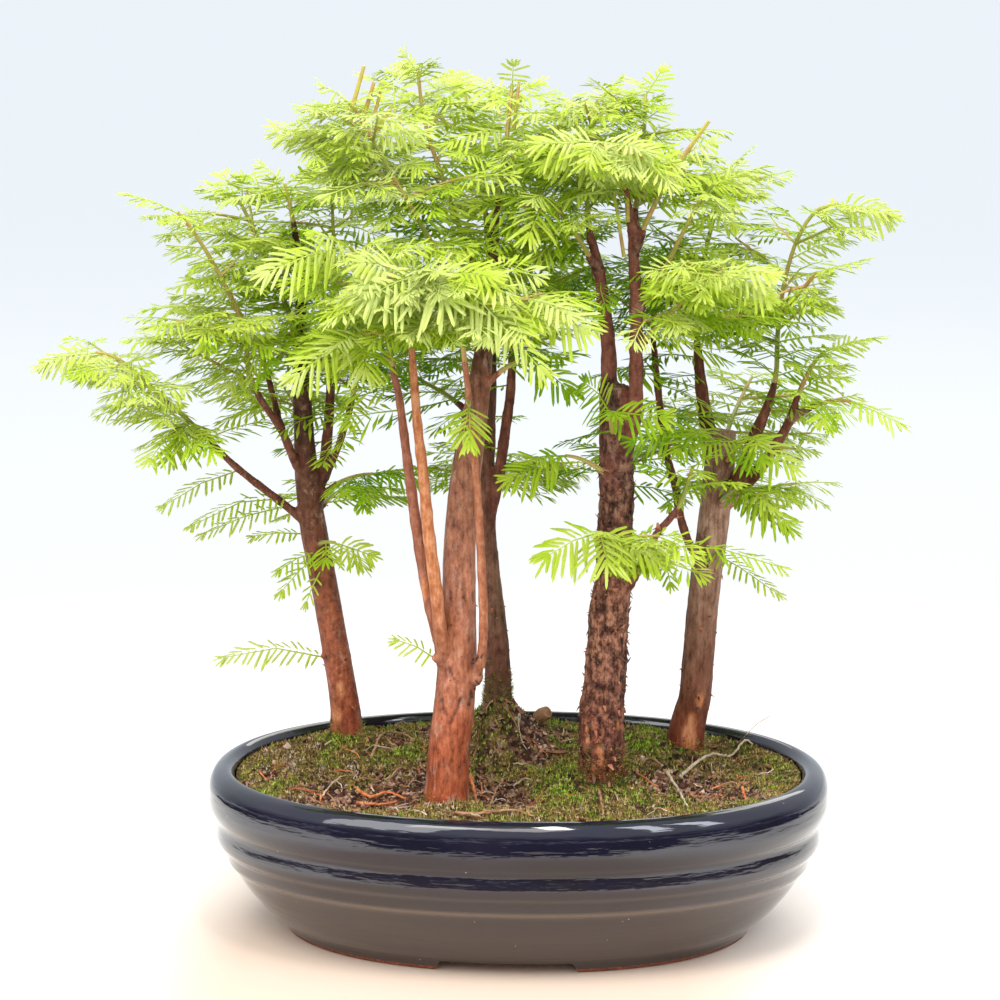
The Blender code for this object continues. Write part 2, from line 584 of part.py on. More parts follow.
def spray_plan(path, number):
    """Where a shoot's sprays start, which way they point and their pairs of needles: side pairs, then the tip."""
    total = path_length(path)
    lengths = [0.0]
    for a, b in zip(path, path[1:]):
        lengths.append(lengths[-1] + (b - a).length)
    stations = max(1, min(3, round(total / (25 * MM))))
    outward = Vector((path[-1].x, path[-1].y, 0)).normalized()
    plan = []
    for k in range(stations):
        at = total * (k + 0.75) / (stations + 0.35)
        place = point_along(path, lengths, at)
        along = (point_along(path, lengths, at + 2 * MM) - point_along(path, lengths, at - 2 * MM)).normalized()
        aside = UP.cross(along)
        if aside.length < 0.55:
            aside = Matrix.Rotation(math.radians(40 + 90 * k + 37 * number), 3, "Z") @ outward
        aside.normalize()
        for hand in (1, -1):
            way = along * 0.5 + aside * hand * 0.83
            way.z *= 0.75
            plan.append((place, way.normalized(), 3))
    tip = (path[-1] - path[-2]).normalized()
    leaning = tip + outward * 0.5 * max(0.0, tip.z)
    leaning.z *= 0.8
    plan.append((path[-1] - tip * 1.6 * MM, leaning.normalized(), 4))
    return plan


def place_spray(name, root, direction, pairs, own, room, chance):
    """The first of several slightly turned sprays that is clear of all that is there, or None."""
    for attempt in range(SPRAY_TRIES):
        spread = 0.09 * attempt ** 0.9
        turn = Matrix.Rotation(chance.uniform(-spread, spread), 3, "Z")
        tilt = Matrix.Rotation(chance.uniform(-spread, spread), 3, UP.cross(direction).normalized())
        way = (tilt @ (turn @ direction)).normalized()
        roll = chance.uniform(-0.25, 0.25)
        size = chance.uniform(0.92, 1.08) * (1 - 0.006 * attempt)
        droop = chance.uniform(2.5, 6.0)
        space = spray_mesh(name, root, way, roll, droop, pairs, size, grown=0.4 * MM)
        if not room.meets(space, own):
            room.add(space, name)
            return spray_mesh(name, root, way, roll, droop, pairs, size)
        bpy.data.meshes.remove(space)
    return None


def make_tree(name, tree, into, bark, room):
    """A trunk and its bare branches in one body, and the list of green stems that go on from them."""
    path, radii = trunk_path(tree["trunk"])
    pieces = [tube(name + "_trunk", path, radii, into, 2)]
    stems = []
    if "crown" in tree:
        top = path[-1]
        facing = (path[-1] - path[-2]).normalized()
        start = top + facing * CLEARANCE
        dense = smooth_path([sight(*p) for p in tree["crown"]], 1 * MM)
        green = [start, *path_between(dense, 10 * MM, path_length(dense) - TIP_REACH, 21 * MM)]
        stems.append(("crown", green, taper(len(green), 1.5 * MM, 1.0 * MM)))
    for limb_name, limb in tree["limbs"].items():
        wood, green = limb_paths(limb)
        if wood:
            pieces.append(tube(f"{name}_{limb_name}_wood", *wood, into, 1 if limb[1] >= 2.3 else 0))
        stems.append((limb_name if wood else "+" + limb_name, *green))
    return united("wood_" + name, pieces, into, bark, "EXACT"), stems


def make_shoots(tree_name, stems, into, leaf, room, chance):
    """The green shoots of one tree: a stem with its sprays, and any green fork of it, in one body each."""
    groups = []
    for limb_name, path, radii in stems:
        if limb_name.startswith("+"):
            groups[-1].append((limb_name[1:], path, radii))
        else:
            groups.append([(limb_name, path, radii)])
    jobs = []
    for group in groups:
        node = f"shoot_{tree_name}_{group[0][0]}"
        pieces = []
        for limb_name, path, radii in group:
            stem = tube(f"{node}_{limb_name}_stem", path, radii, into, 0)
            for met in room.meets(stem.data, [node]):
                print("stem", stem.name, "meets", met)
            pieces.append(stem)
        jobs.append((node, group, pieces))
    for node, group, pieces in jobs:
        for piece in pieces:
            room.add(piece.data, node)
    return jobs


def add_sprays(job, into, leaf, room, chance, number):
    node, group, pieces = job
    for limb_name, path, radii in group:
        for k, (root, direction, pairs) in enumerate(spray_plan(path, number)):
            made = place_spray(f"{node}_spray", root, direction, pairs, [node], room, chance)
            if made:
                pieces.append(mesh_object(f"{node}_{limb_name}_spray{k}", made, into))
            else:
                print("no room", node, k)
    return united(node, pieces, into, leaf, "EXACT")


def centre_on_base(forest):
    """Moves the whole forest so that the origin is under the middle of its outer box."""
    points = [v.co for obj in forest.objects for v in obj.data.vertices]
    middle = [(min(p[i] for p in points) + max(p[i] for p in points)) / 2 for i in range(2)]
    for obj in forest.objects:
        obj.data.transform(Matrix.Translation((-middle[0], -middle[1], 0)))


def main():
    clear_scene()
    chance = random.Random(11)
    forest = collection("dawn_redwood_forest")
    helpers = collection("cutters", shown=False)
    glaze = material("midnight_blue_glaze", (0.012, 0.014, 0.028), 0.12)
    earth = material("mossy_soil", (0.07, 0.075, 0.025), 0.95)
    plastic = material("black_plastic_mesh", (0.02, 0.02, 0.02), 0.6)
    leaf = material("spring_needles", (0.36, 0.68, 0.06), 0.5)
    bark_colours = {"left": (0.34, 0.13, 0.07), "front": (0.40, 0.16, 0.09), "back": (0.25, 0.13, 0.08),
                    "middle": (0.22, 0.10, 0.06), "right": (0.35, 0.20, 0.13)}
    room = Room()
    tray = make_tray(forest, helpers, glaze)
    holes = []
    for name, tree in TREES.items():
        path, radii = trunk_path(tree["trunk"])
        below = [path[0] - (path[1] - path[0]).normalized() * CLEARANCE, *path[1:5]]
        cutter = tube("hole_" + name, below, [r + CLEARANCE for r in radii[:5]], helpers, 2)
        holes.append(as_helper(cutter))
    soil = make_soil(forest, helpers, holes, earth)
    for name, side in (("drain_screen_left", -1), ("drain_screen_right", 1)):
        make_screen(name, side, forest, helpers, plastic)
    room.add(tray.data, "tray")
    room.add(soil.data, "soil")
    all_jobs = []
    grown = {}
    for name, tree in TREES.items():
        bark = material("bark_" + name, bark_colours[name], 0.8)
        wood, stems = make_tree(name, tree, forest, bark, room)
        for met in room.meets(wood.data):
            print("wood", name, "meets", met)
        grown[name] = (wood, stems)
    for wood, _ in grown.values():
        room.add(wood.data, wood.name)
    for name, (wood, stems) in grown.items():
        all_jobs += make_shoots(name, stems, forest, leaf, room, chance)
    for number, job in enumerate(all_jobs):
        add_sprays(job, forest, leaf, room, chance, number)
    centre_on_base(forest)


main()
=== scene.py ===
import math
import random

import bmesh
import bpy
import numpy as np
from mathutils import Matrix, Vector, kdtree, noise


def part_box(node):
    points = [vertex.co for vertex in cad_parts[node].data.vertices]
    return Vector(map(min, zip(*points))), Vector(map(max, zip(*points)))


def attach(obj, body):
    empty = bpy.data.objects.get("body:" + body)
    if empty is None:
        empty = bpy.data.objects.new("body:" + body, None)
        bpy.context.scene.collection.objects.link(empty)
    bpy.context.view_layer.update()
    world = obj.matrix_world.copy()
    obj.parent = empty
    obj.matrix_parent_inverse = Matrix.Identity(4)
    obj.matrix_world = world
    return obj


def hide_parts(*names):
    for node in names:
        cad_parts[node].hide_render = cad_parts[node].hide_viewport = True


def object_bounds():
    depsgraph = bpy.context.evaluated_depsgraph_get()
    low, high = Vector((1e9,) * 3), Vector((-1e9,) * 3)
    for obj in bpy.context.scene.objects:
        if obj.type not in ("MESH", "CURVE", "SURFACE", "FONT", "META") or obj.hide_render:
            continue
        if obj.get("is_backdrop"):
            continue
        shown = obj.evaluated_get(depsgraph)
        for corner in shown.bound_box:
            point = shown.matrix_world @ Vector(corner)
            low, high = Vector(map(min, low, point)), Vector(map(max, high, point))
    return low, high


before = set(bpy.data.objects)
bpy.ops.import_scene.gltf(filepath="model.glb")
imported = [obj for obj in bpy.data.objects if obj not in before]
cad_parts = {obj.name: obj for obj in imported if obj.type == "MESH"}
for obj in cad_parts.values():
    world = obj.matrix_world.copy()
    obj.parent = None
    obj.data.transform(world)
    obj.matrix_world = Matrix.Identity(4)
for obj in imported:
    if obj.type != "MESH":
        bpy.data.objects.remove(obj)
cad_low, cad_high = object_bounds()
bpy.ops.object.select_all(action="DESELECT")


# The tray: an oval of stoneware, thrown thick, with a rolled rim and three soft bands pressed round its side.
# It is dipped in a midnight-blue glaze that pools almost black; the foot is wiped bare and shows red clay.
MM = 0.001
UP = Vector((0, 0, 1))
tray_low, tray_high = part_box("tray")
MIDDLE = Vector(((tray_low.x + tray_high.x) / 2, (tray_low.y + tray_high.y) / 2, 0))
OVAL_RATIO = 0.755  # the oval's breadth for a length of 1
OVAL_POWER = 2.15  # 2 would be a plain ellipse, and more is squarer
TRAY_SIDES = 168
# From the floor over the rim down to the foot: half the tray's length there and the height, in millimetres.
TRAY_SECTION = [
    (40, 11), (92, 11), (103, 17), (114, 50), (118.2, 62), (119.4, 66.3), (122.4, 68.5), (127, 66.8),
    (129.5, 63), (130.1, 58), (129.9, 53.4), (128.4, 49.6), (126.6, 46.8), (126.9, 43), (127.1, 40),
    (126.2, 37.4), (123.6, 34.8), (122.7, 31.8), (122.2, 29.4), (119.8, 26.7), (114.6, 18.7), (107.4, 10.5),
    (100.9, 5.6),
]
FOOT_SECTION = [(99.3, 3.6), (98.4, 1.8), (97.6, 0.5), (96.2, 0), (88.6, 0), (87.6, 0.6), (86.5, 3.8),
                (40, 3.8)]
FOOT_GAP = (62 * MM, 300 * MM, 7.4 * MM)  # the cut through the foot ring: how wide, long and tall
FOOT_GAP_TOP = 0.86  # the share of that width that is left at its top
DRAIN_OFFSET = 48 * MM
DRAIN_RADIUS = 8 * MM


def linear(code):
    """A colour given as sRGB hex digits, as the linear colour that a shader takes."""
    parts = [int(code[k:k + 2], 16) / 255 for k in (1, 3, 5)]
    return (*[c / 12.92 if c <= 0.04045 else ((c + 0.055) / 1.055) ** 2.4 for c in parts], 1)


def connect(node, inputs):
    """Sets a node's inputs: a value, a colour's hex digits, a node's output, or a node for its first one."""
    for socket, value in inputs.items():
        if isinstance(value, bpy.types.Node):
            value = next(output for output in value.outputs if output.enabled)
        if isinstance(value, bpy.types.NodeSocket):
            node.id_data.links.new(value, node.inputs[socket])
        else:
            node.inputs[socket].default_value = linear(value) if isinstance(value, str) else value


def add_node(tree, kind, inputs=None, stops=None, **settings):
    """Adds a shader node with its settings and its inputs; stops are a ramp's colours."""
    node = tree.nodes.new("ShaderNode" + kind)
    for name, value in settings.items():
        setattr(node, name, value)
    connect(node, inputs or {})
    if stops:
        ramp = node.color_ramp
        while len(ramp.elements) < len(stops):
            ramp.elements.new(0.5)
        for element, (position, code) in zip(ramp.elements, stops):
            element.position = position
            element.color = linear(code)
    return node


def new_material(name, **values):
    """A Principled material and its parts: the node tree, the shader and the Object coordinates."""
    made = bpy.data.materials.new(name)
    made.use_nodes = True
    tree = made.node_tree
    shader = tree.nodes["Principled BSDF"]
    connect(shader, {socket.replace("_", " "): value for socket, value in values.items()})
    return made, tree, shader, add_node(tree, "TexCoord").outputs["Object"]


def grain(size):
    """The scale of a pattern whose grains are that many millimetres wide."""
    return 1 / (size * MM)


def mottled(name, pattern, stops, **values):
    """A material whose colour goes through a cloudy pattern from its darkest stop to its lightest."""
    made, tree, shader, place = new_material(name, **values)
    cloud = add_node(tree, "TexNoise", {"Vector": place, **pattern})
    connect(shader, {"Base Color": add_node(tree, "ValToRGB", {"Fac": cloud}, stops)})
    return made


def oval(radius, angle):
    """The tray's plan, squarer than an ellipse: where the ring of that radius passes at that angle."""
    c, s = math.cos(angle), math.sin(angle)
    bulge = (abs(c) ** OVAL_POWER + abs(s) ** OVAL_POWER) ** (-1 / OVAL_POWER)
    return Vector((radius * bulge * c, radius * bulge * s * OVAL_RATIO, 0))


def curve_point(a, b, c, d, t):
    """The point that is a share t of the way from b to c on the smooth curve through a, b, c and d."""
    return 0.5 * (2 * b + (c - a) * t + (2 * a - 5 * b + 4 * c - d) * t**2 + (3 * b - a - 3 * c + d) * t**3)


def rounded(section, steps):
    """More points along a smooth line through a section's points."""
    ends = [section[0], *section, section[-1]]
    fine = []
    for four in zip(ends, ends[1:], ends[2:], ends[3:]):
        fine += [tuple(curve_point(*values, k / steps) for values in zip(*four)) for k in range(steps)]
    return [*fine, section[-1]]


def pick(*objects):
    """Selects these objects alone; the first is the active one."""
    bpy.ops.object.select_all(action="DESELECT")
    for obj in objects:
        obj.select_set(True)
    bpy.context.view_layer.objects.active = objects[0]


def apply_modifier(obj, kind, **settings):
    """Adds a modifier to the active object and applies it."""
    made = obj.modifiers.new(kind.lower(), kind)
    for name, value in settings.items():
        setattr(made, name, value)
    bpy.ops.object.modifier_apply(modifier=made.name)


def face_outward(merged=None):
    """Turns the active mesh's faces outward, after points closer than a distance are merged."""
    bpy.ops.object.mode_set(mode="EDIT")
    bpy.ops.mesh.select_all(action="SELECT")
    if merged:
        bpy.ops.mesh.remove_doubles(threshold=merged)
    bpy.ops.mesh.normals_make_consistent(inside=False)
    bpy.ops.object.mode_set(mode="OBJECT")


def finish_piece(obj, replaced=(), smooth=None):
    """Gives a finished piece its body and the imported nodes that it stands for."""
    if smooth is not None:
        pick(obj)
        bpy.ops.object.shade_smooth_by_angle(angle=math.radians(smooth))
    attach(obj, "root")
    if replaced:
        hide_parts(*replaced)


section = rounded(TRAY_SECTION, 4)[3:] + FOOT_SECTION
bpy.ops.mesh.primitive_circle_add(vertices=TRAY_SIDES, radius=section[0][0] * MM, fill_type="NOTHING",
                                  location=(0, 0, section[0][1] * MM))
tray = bpy.context.object
tray.name = "glazed_tray"
bpy.ops.object.transform_apply(location=True, rotation=False, scale=False)
for vertex in tray.data.vertices:
    place = oval(section[0][0] * MM, math.atan2(vertex.co.y, vertex.co.x))
    vertex.co.x, vertex.co.y = place.x, place.y
bpy.ops.object.mode_set(mode="EDIT")
bpy.ops.mesh.select_all(action="SELECT")
bpy.ops.mesh.edge_face_add()
bpy.ops.mesh.select_all(action="DESELECT")
bpy.ops.mesh.select_mode(type="EDGE")
bpy.ops.mesh.select_all(action="SELECT")
for (r0, z0), (r1, z1) in zip(section, section[1:]):
    bpy.ops.mesh.extrude_edges_move(TRANSFORM_OT_translate={"value": (0, 0, (z1 - z0) * MM)})
    bpy.ops.transform.resize(value=(r1 / r0, r1 / r0, 1), center_override=(0, 0, z1 * MM))
bpy.ops.mesh.edge_face_add()
face_outward()

bpy.ops.mesh.primitive_cube_add(size=1, location=(0, 0, 0.8 * MM))
cutters = [bpy.context.object]
cutters[0].scale = FOOT_GAP
bpy.ops.object.transform_apply(location=True, rotation=False, scale=True)
for vertex in cutters[0].data.vertices:
    if vertex.co.z > 0:
        vertex.co.x *= FOOT_GAP_TOP
for side in (-1, 1):
    bpy.ops.mesh.primitive_cylinder_add(vertices=40, radius=DRAIN_RADIUS, depth=30 * MM,
                                        location=(side * DRAIN_OFFSET, 0, 9 * MM))
    cutters.append(bpy.context.object)
pick(tray)
for cutter in cutters:
    apply_modifier(tray, "BOOLEAN", operation="DIFFERENCE", solver="EXACT", object=cutter)
    bpy.data.objects.remove(cutter)
tray.data.transform(Matrix.Translation(MIDDLE))

# A dipped glaze is glass over clay: almost black where it is thick, glossy, with soft turning lines, dust and
# pinholes. Warm grey-brown lower down is painted reflection of the warm floor; a lighter line rings one edge.
GLAZE_EDGE = 29.6 * MM  # the height of the edge that a lighter grey-brown line runs round
glaze, tree, shader, place = new_material("midnight_blue_glaze", IOR=1.62, Roughness=0.06, Coat_Weight=0.3)
pool = add_node(tree, "TexNoise", {"Vector": place, "Scale": grain(38.5), "Detail": 3})
tint = add_node(tree, "ValToRGB", {"Fac": pool}, [(0.3, "#0b0b18"), (0.55, "#111022"), (0.8, "#1c1826")])
height = add_node(tree, "SeparateXYZ", {"Vector": place}).outputs["Z"]
# Painted reflection: lower down the colour goes warm grey-brown, standing for the warm floor mirrored in the
# glaze.
reflection_level = add_node(tree, "Math", {0: pool, 1: 14 * MM, 2: height}, operation="MULTIPLY_ADD")
thin = add_node(tree, "MapRange", {"Value": reflection_level, "From Min": 56 * MM, "From Max": 26 * MM})
tint = add_node(tree, "Mix", {"Factor": thin, "A": tint, "B": "#352c29"}, data_type="RGBA")
# A lighter grey-brown line round the edge at GLAZE_EDGE.
off_edge = add_node(tree, "Math", {0: height, 1: GLAZE_EDGE}, operation="SUBTRACT")
off_edge = add_node(tree, "Math", {0: off_edge}, operation="ABSOLUTE")
on_edge = add_node(tree, "MapRange", {"Value": off_edge, "From Min": 1.5 * MM, "From Max": 0.2 * MM,
                                      "To Max": 0.75})
tint = add_node(tree, "Mix", {"Factor": on_edge, "A": tint, "B": "#66574c"}, data_type="RGBA")
dust = add_node(tree, "TexVoronoi", {"Vector": place, "Scale": grain(3.03)})
speck = add_node(tree, "MapRange", {"Value": dust, "From Min": 0.12, "From Max": 0.07})
rare = add_node(tree, "MapRange", {"Value": dust.outputs["Color"], "From Min": 0.86, "From Max": 0.9})
shown = add_node(tree, "Math", {0: speck, 1: rare}, operation="MULTIPLY")
tint = add_node(tree, "Mix", {"Factor": shown, "A": tint, "B": "#a19a96"}, data_type="RGBA")
turned = add_node(tree, "Mapping", {"Vector": place, "Scale": (1, 1, 7)})
lines = add_node(tree, "TexNoise", {"Vector": turned, "Scale": grain(26.3), "Detail": 3})
bump = add_node(tree, "Bump", {"Height": lines, "Strength": 0.3, "Distance": 1.0 * MM})
connect(shader, {"Base Color": tint, "Normal": bump})

# Fired red stoneware where the glaze was wiped off the foot: matt and grainy.
BARE_HEIGHT = 1.6 * MM  # the glaze is wiped off below this, and off the flat underside
clay = mottled("bare_red_stoneware", {"Scale": grain(1.43), "Detail": 4},
               [(0.3, "#5e3224"), (0.6, "#804833"), (0.8, "#9c634c")], Roughness=0.85)
tray.data.materials.clear()
tray.data.materials.append(glaze)
tray.data.materials.append(clay)
for polygon in tray.data.polygons:
    underside = polygon.center.z < 9 * MM and polygon.normal.z < -0.98
    polygon.material_index = int(underside or polygon.center.z < BARE_HEIGHT)
finish_piece(tray, ["tray"], 38)


# The drain screens: squares of black moulded plastic mesh, laid over the two drain holes before the soil goes
# in. They lie loose on the tray's floor, held by the soil's weight.
SCREEN_SIDE = 25 * MM
SCREEN_BARS = 9
SCREEN_BAR = 1 * MM
SCREEN_HEIGHT = 11.95 * MM
plastic = new_material("black_moulded_plastic", Base_Color="#1b1b1c", Roughness=0.5)[0]
for name, side in (("left", -1), ("right", 1)):
    bpy.ops.object.select_all(action="DESELECT")
    bpy.ops.mesh.primitive_grid_add(x_subdivisions=SCREEN_BARS, y_subdivisions=SCREEN_BARS, size=SCREEN_SIDE,
                                    location=MIDDLE + Vector((side * DRAIN_OFFSET, 0, SCREEN_HEIGHT)))
    screen = bpy.context.object
    screen.name = f"drain_mesh_{name}"
    bpy.ops.object.transform_apply(location=True, rotation=False, scale=False)
    apply_modifier(screen, "WIREFRAME", thickness=SCREEN_BAR, use_boundary=True)
    face_outward()
    screen.data.materials.append(plastic)
    finish_piece(screen, [f"drain_screen_{name}"])


# The front view that the places of trees and litter are read from: pixels across and down, and how far back.
VIEW_SCALE = 2412  # pixels to a metre at the tray's middle
VIEW_DISTANCE = 1.5
VIEW_TURN = math.radians(4)
VIEW_RISE = math.radians(10.35)
VIEW_AIM = (-7.6 * MM, 180.8 * MM)
HALF_FRAME = 500  # pixels
VIEW_LENS = VIEW_SCALE * VIEW_DISTANCE
VIEW_RIGHT = Vector((math.cos(VIEW_TURN), math.sin(VIEW_TURN), 0))
VIEW_AWAY = Vector((-math.sin(VIEW_TURN), math.cos(VIEW_TURN), 0))
VIEW_LINE = VIEW_AWAY * math.cos(VIEW_RISE) - UP * math.sin(VIEW_RISE)


def sight(across, down, back):
    """The point seen at that pixel, that many millimetres behind the tray's middle."""
    back = back * MM
    rise = (HALF_FRAME - down) / VIEW_LENS
    c, s = math.cos(VIEW_RISE), math.sin(VIEW_RISE)
    height = (rise * (VIEW_DISTANCE + back * c) - back * s) / (c + rise * s)
    distance = VIEW_DISTANCE + back * c - height * s
    sideways = VIEW_AIM[0] + (across - HALF_FRAME) / VIEW_LENS * distance
    return MIDDLE + VIEW_RIGHT * sideways + VIEW_AWAY * back + UP * (VIEW_AIM[1] + height)


AIMED_AT = sight(HALF_FRAME, HALF_FRAME, 0)
EYE = AIMED_AT - VIEW_LINE * VIEW_DISTANCE


def seen_pixel(spot):
    """Where the front view shows a point, in pixels across and down."""
    away = spot - AIMED_AT
    depth = VIEW_DISTANCE + away.dot(VIEW_AWAY) * math.cos(VIEW_RISE) - away.z * math.sin(VIEW_RISE)
    upward = away.z * math.cos(VIEW_RISE) + away.dot(VIEW_AWAY) * math.sin(VIEW_RISE)
    lens = VIEW_LENS / depth
    return HALF_FRAME + away.dot(VIEW_RIGHT) * lens, HALF_FRAME - upward * lens


def on_soil(across, down, height=66):
    """The point seen at that pixel at a height in millimetres over the table."""
    near, far = -110.0, 110.0
    for _ in range(24):
        middle = (near + far) / 2
        if sight(across, down, middle).z > height * MM:
            near = middle
        else:
            far = middle
    return sight(across, down, near)


# The planting soil: a crumbly mix of baked clay, grit and peat that fills the tray to its rim.
# It is mounded round the trunks, scraped out round the second tree, and most of it is grown over with moss.
SOIL_LEVEL = 64.5 * MM
SOIL_AT_WALL = 64.8 * MM
SOIL_EDGE = 118.4  # half the soil's length in millimetres
LEVEL_FROM = 0.86  # the share of the way out from which the soil goes level
SOIL_STEP = 0.95 * MM
# Down the soil's sides: shares of that length, and their heights in millimetres.
SOIL_SIDES = ((0.985, 59.6), (0.957, 50), (0.864, 17.4), (0.8, 13.2))
SOIL_FORMS = [  # places across and back from the middle, how high and how wide, in millimetres
    (-75, 30, 9, 15), (-25, -36, 2, 12), (-13, 54, 10, 20), (-10, 46, 13, 9), (-12, 38, 5, 7),
    (38, -6, 6, 18), (57, 36, 8, 15), (72, 27, 5, 10), (-5, -32, -7, 12), (-53, -38, -6, 15),
    (-8, 14, -6, 12), (92, 34, -6, 22), (20, 20, -3, 14), (-100, 0, 2, 20), (66, -20, -3, 18),
]
BARE_SOIL = [  # where no moss grows, in the front view: pixels across and down, half the width and height
    (345, 789, 52, 15), (398, 785, 30, 20), (300, 801, 26, 8), (424, 774, 12, 18), (498, 785, 34, 17),
    (530, 794, 16, 10), (484, 768, 12, 13), (500, 735, 26, 16), (532, 744, 26, 12), (562, 735, 12, 8),
    (432, 735, 12, 12), (395, 745, 18, 7), (706, 780, 48, 15), (662, 778, 20, 11), (746, 788, 22, 9),
    (766, 764, 10, 6), (268, 774, 10, 5), (244, 782, 8, 5), (305, 746, 7, 4), (382, 721, 14, 4),
    (640, 803, 12, 5), (590, 742, 8, 5),
]


def oval_reach(x, y):
    """How far out a point is, with y drawn out to the oval's length: the same all round one oval."""
    return (abs(x) ** OVAL_POWER + abs(y) ** OVAL_POWER) ** (1 / OVAL_POWER)


def soil_height(place):
    """The soil's height with its hills, crumbs and grain; it meets the tray's wall level."""
    flat = place - MIDDLE
    height = SOIL_LEVEL
    for cx, cy, rise, spread in SOIL_FORMS:
        away = ((flat.x - cx * MM) ** 2 + (flat.y - cy * MM) ** 2) / (2 * (spread * MM) ** 2)
        height += rise * MM * math.exp(-away)
    rim = oval_reach(flat.x, flat.y / OVAL_RATIO) / (SOIL_EDGE * MM)
    edge = min(1.0, max(0.0, (rim - LEVEL_FROM) / (1 - LEVEL_FROM)))
    height = height * (1 - edge) + SOIL_AT_WALL * edge
    low = Vector((flat.x, flat.y, 0))
    height += noise.fractal(low * 90, 0.9, 2.1, 3) * 1.1 * MM * (1 - 0.6 * edge)
    height += noise.noise(low * 420) * 0.8 * MM + noise.noise(low * 950) * 0.5 * MM
    return height - 2.0 * MM * bareness(place)


def bareness(place):
    """How bare of moss the soil is at a place, from 0 to 1, with ragged edges."""
    x, y = seen_pixel(Vector((place.x, place.y, 66 * MM)))
    found = max(1.3 - math.hypot((x - cx) / wide, (y - cy) / tall) for cx, cy, wide, tall in BARE_SOIL)
    ragged = sum(noise.noise(Vector((place.x, place.y, 0.3)) * scale) * part
                 for scale, part in ((110, 0.4), (300, 0.45), (800, 0.4)))
    return min(1.0, max(0.0, found + ragged))


bpy.ops.object.select_all(action="DESELECT")
bpy.ops.mesh.primitive_grid_add(x_subdivisions=round(2 * SOIL_EDGE * MM / SOIL_STEP),
                                y_subdivisions=round(2 * SOIL_EDGE * MM * OVAL_RATIO / SOIL_STEP),
                                size=2, location=(0, 0, 0))
soil = bpy.context.object
soil.name = "planting_soil"
shape = bmesh.new()
shape.from_mesh(soil.data)
for vertex in shape.verts:
    x, y = vertex.co.x, vertex.co.y
    spread = max(abs(x), abs(y)) / max(oval_reach(x, y), 1e-6)
    vertex.co.x, vertex.co.y = x * spread * SOIL_EDGE * MM, y * spread * SOIL_EDGE * MM * OVAL_RATIO
    vertex.co += MIDDLE
    vertex.co.z = soil_height(vertex.co)
rim = [edge for edge in shape.edges if edge.is_boundary]
for share, height in SOIL_SIDES:
    made = bmesh.ops.extrude_edge_only(shape, edges=rim)
    rim = [e for e in made["geom"] if isinstance(e, bmesh.types.BMEdge) and e.is_boundary]
    for vertex in {v for e in rim for v in e.verts}:
        flat = vertex.co - MIDDLE
        drawn_in = share * SOIL_EDGE * MM / oval_reach(flat.x, flat.y / OVAL_RATIO)
        vertex.co = MIDDLE + Vector((flat.x, flat.y, 0)) * drawn_in + UP * height * MM
bmesh.ops.edgeloop_fill(shape, edges=rim)
bmesh.ops.recalc_face_normals(shape, faces=shape.faces)
shape.to_mesh(soil.data)
shape.free()
bare_values = [bareness(vertex.co) for vertex in soil.data.vertices]
soil.data.attributes.new("bare", "FLOAT", "POINT").data.foreach_set("value", bare_values)

# Damp crumbs of peat and baked clay from near black to buff, matt; dead moss and algae dull the rest.
earth, tree, shader, place = new_material("damp_peat_and_clay", Roughness=0.9, Specular_IOR_Level=0.25)
crumb = add_node(tree, "TexVoronoi", {"Vector": place, "Scale": grain(1.92)}).outputs["Color"]
crumb = add_node(tree, "ValToRGB", {"Fac": crumb}, [(0.0, "#1a0d09"), (0.3, "#40241b"), (0.55, "#6c4737"),
                                                    (0.78, "#9c7661"), (0.97, "#dccab4")])
algae = add_node(tree, "TexNoise", {"Vector": place, "Scale": grain(2.94), "Detail": 6, "Roughness": 0.75})
algae = add_node(tree, "ValToRGB", {"Fac": algae}, [(0.3, "#160f08"), (0.44, "#403315"), (0.56, "#6f602a"),
                                                    (0.7, "#b09c6c")])
bare = add_node(tree, "Attribute", attribute_name="bare").outputs["Fac"]
share = add_node(tree, "MapRange", {"Value": bare, "From Min": 0.15, "From Max": 0.6})
tint = add_node(tree, "Mix", {"Factor": share, "A": algae, "B": crumb}, data_type="RGBA")
dark = add_node(tree, "TexNoise", {"Vector": place, "Scale": grain(6.67), "Detail": 5, "Roughness": 0.7})
dark = add_node(tree, "MapRange", {"Value": dark, "From Min": 0.53, "From Max": 0.38, "To Max": 0.9})
tint = add_node(tree, "Mix", {"Factor": dark, "A": tint, "B": "#1a0f0a"}, data_type="RGBA")
rough = add_node(tree, "TexNoise", {"Vector": place, "Scale": grain(1.11), "Detail": 3})
bump = add_node(tree, "Bump", {"Height": rough, "Strength": 0.9, "Distance": 0.8 * MM})
connect(shader, {"Base Color": tint, "Normal": bump})
soil.data.materials.append(earth)
finish_piece(soil, ["soil"])


# The moss: thousands of short shoots that stand close together in cushions, each a tuft of pointed leaves.
# It grew there by itself, thickest on the mounds and round the trunks, yellow where it is dry.
MOSS_SHOOTS = 17000
# How fresh the moss is: pixels across and down, half the width and height, and how much greener or drier.
FRESH_MOSS = [
    (648, 744, 26, 18, 0.5), (690, 738, 20, 10, 0.3), (568, 790, 34, 26, 0.45), (560, 728, 26, 12, 0.4),
    (620, 798, 40, 14, 0.15), (495, 708, 24, 16, 0.5), (348, 742, 26, 18, 0.35), (395, 756, 36, 12, 0.3),
    (482, 765, 14, 12, 0.2), (780, 774, 22, 10, 0.3), (290, 760, 40, 24, -0.3), (250, 778, 24, 12, -0.1),
    (440, 806, 30, 8, -0.3), (360, 774, 24, 10, -0.5), (600, 812, 30, 6, -0.3), (330, 802, 60, 8, -0.3),
]
FRESHNESS = (0.72, 0.38, 0.02)  # the least for wet, olive and ochre moss; below them it is dry
chance = random.Random(5)


def new_object(name, data):
    """An object of that data in the scene."""
    obj = bpy.data.objects.new(name, data)
    bpy.context.scene.collection.objects.link(obj)
    return obj


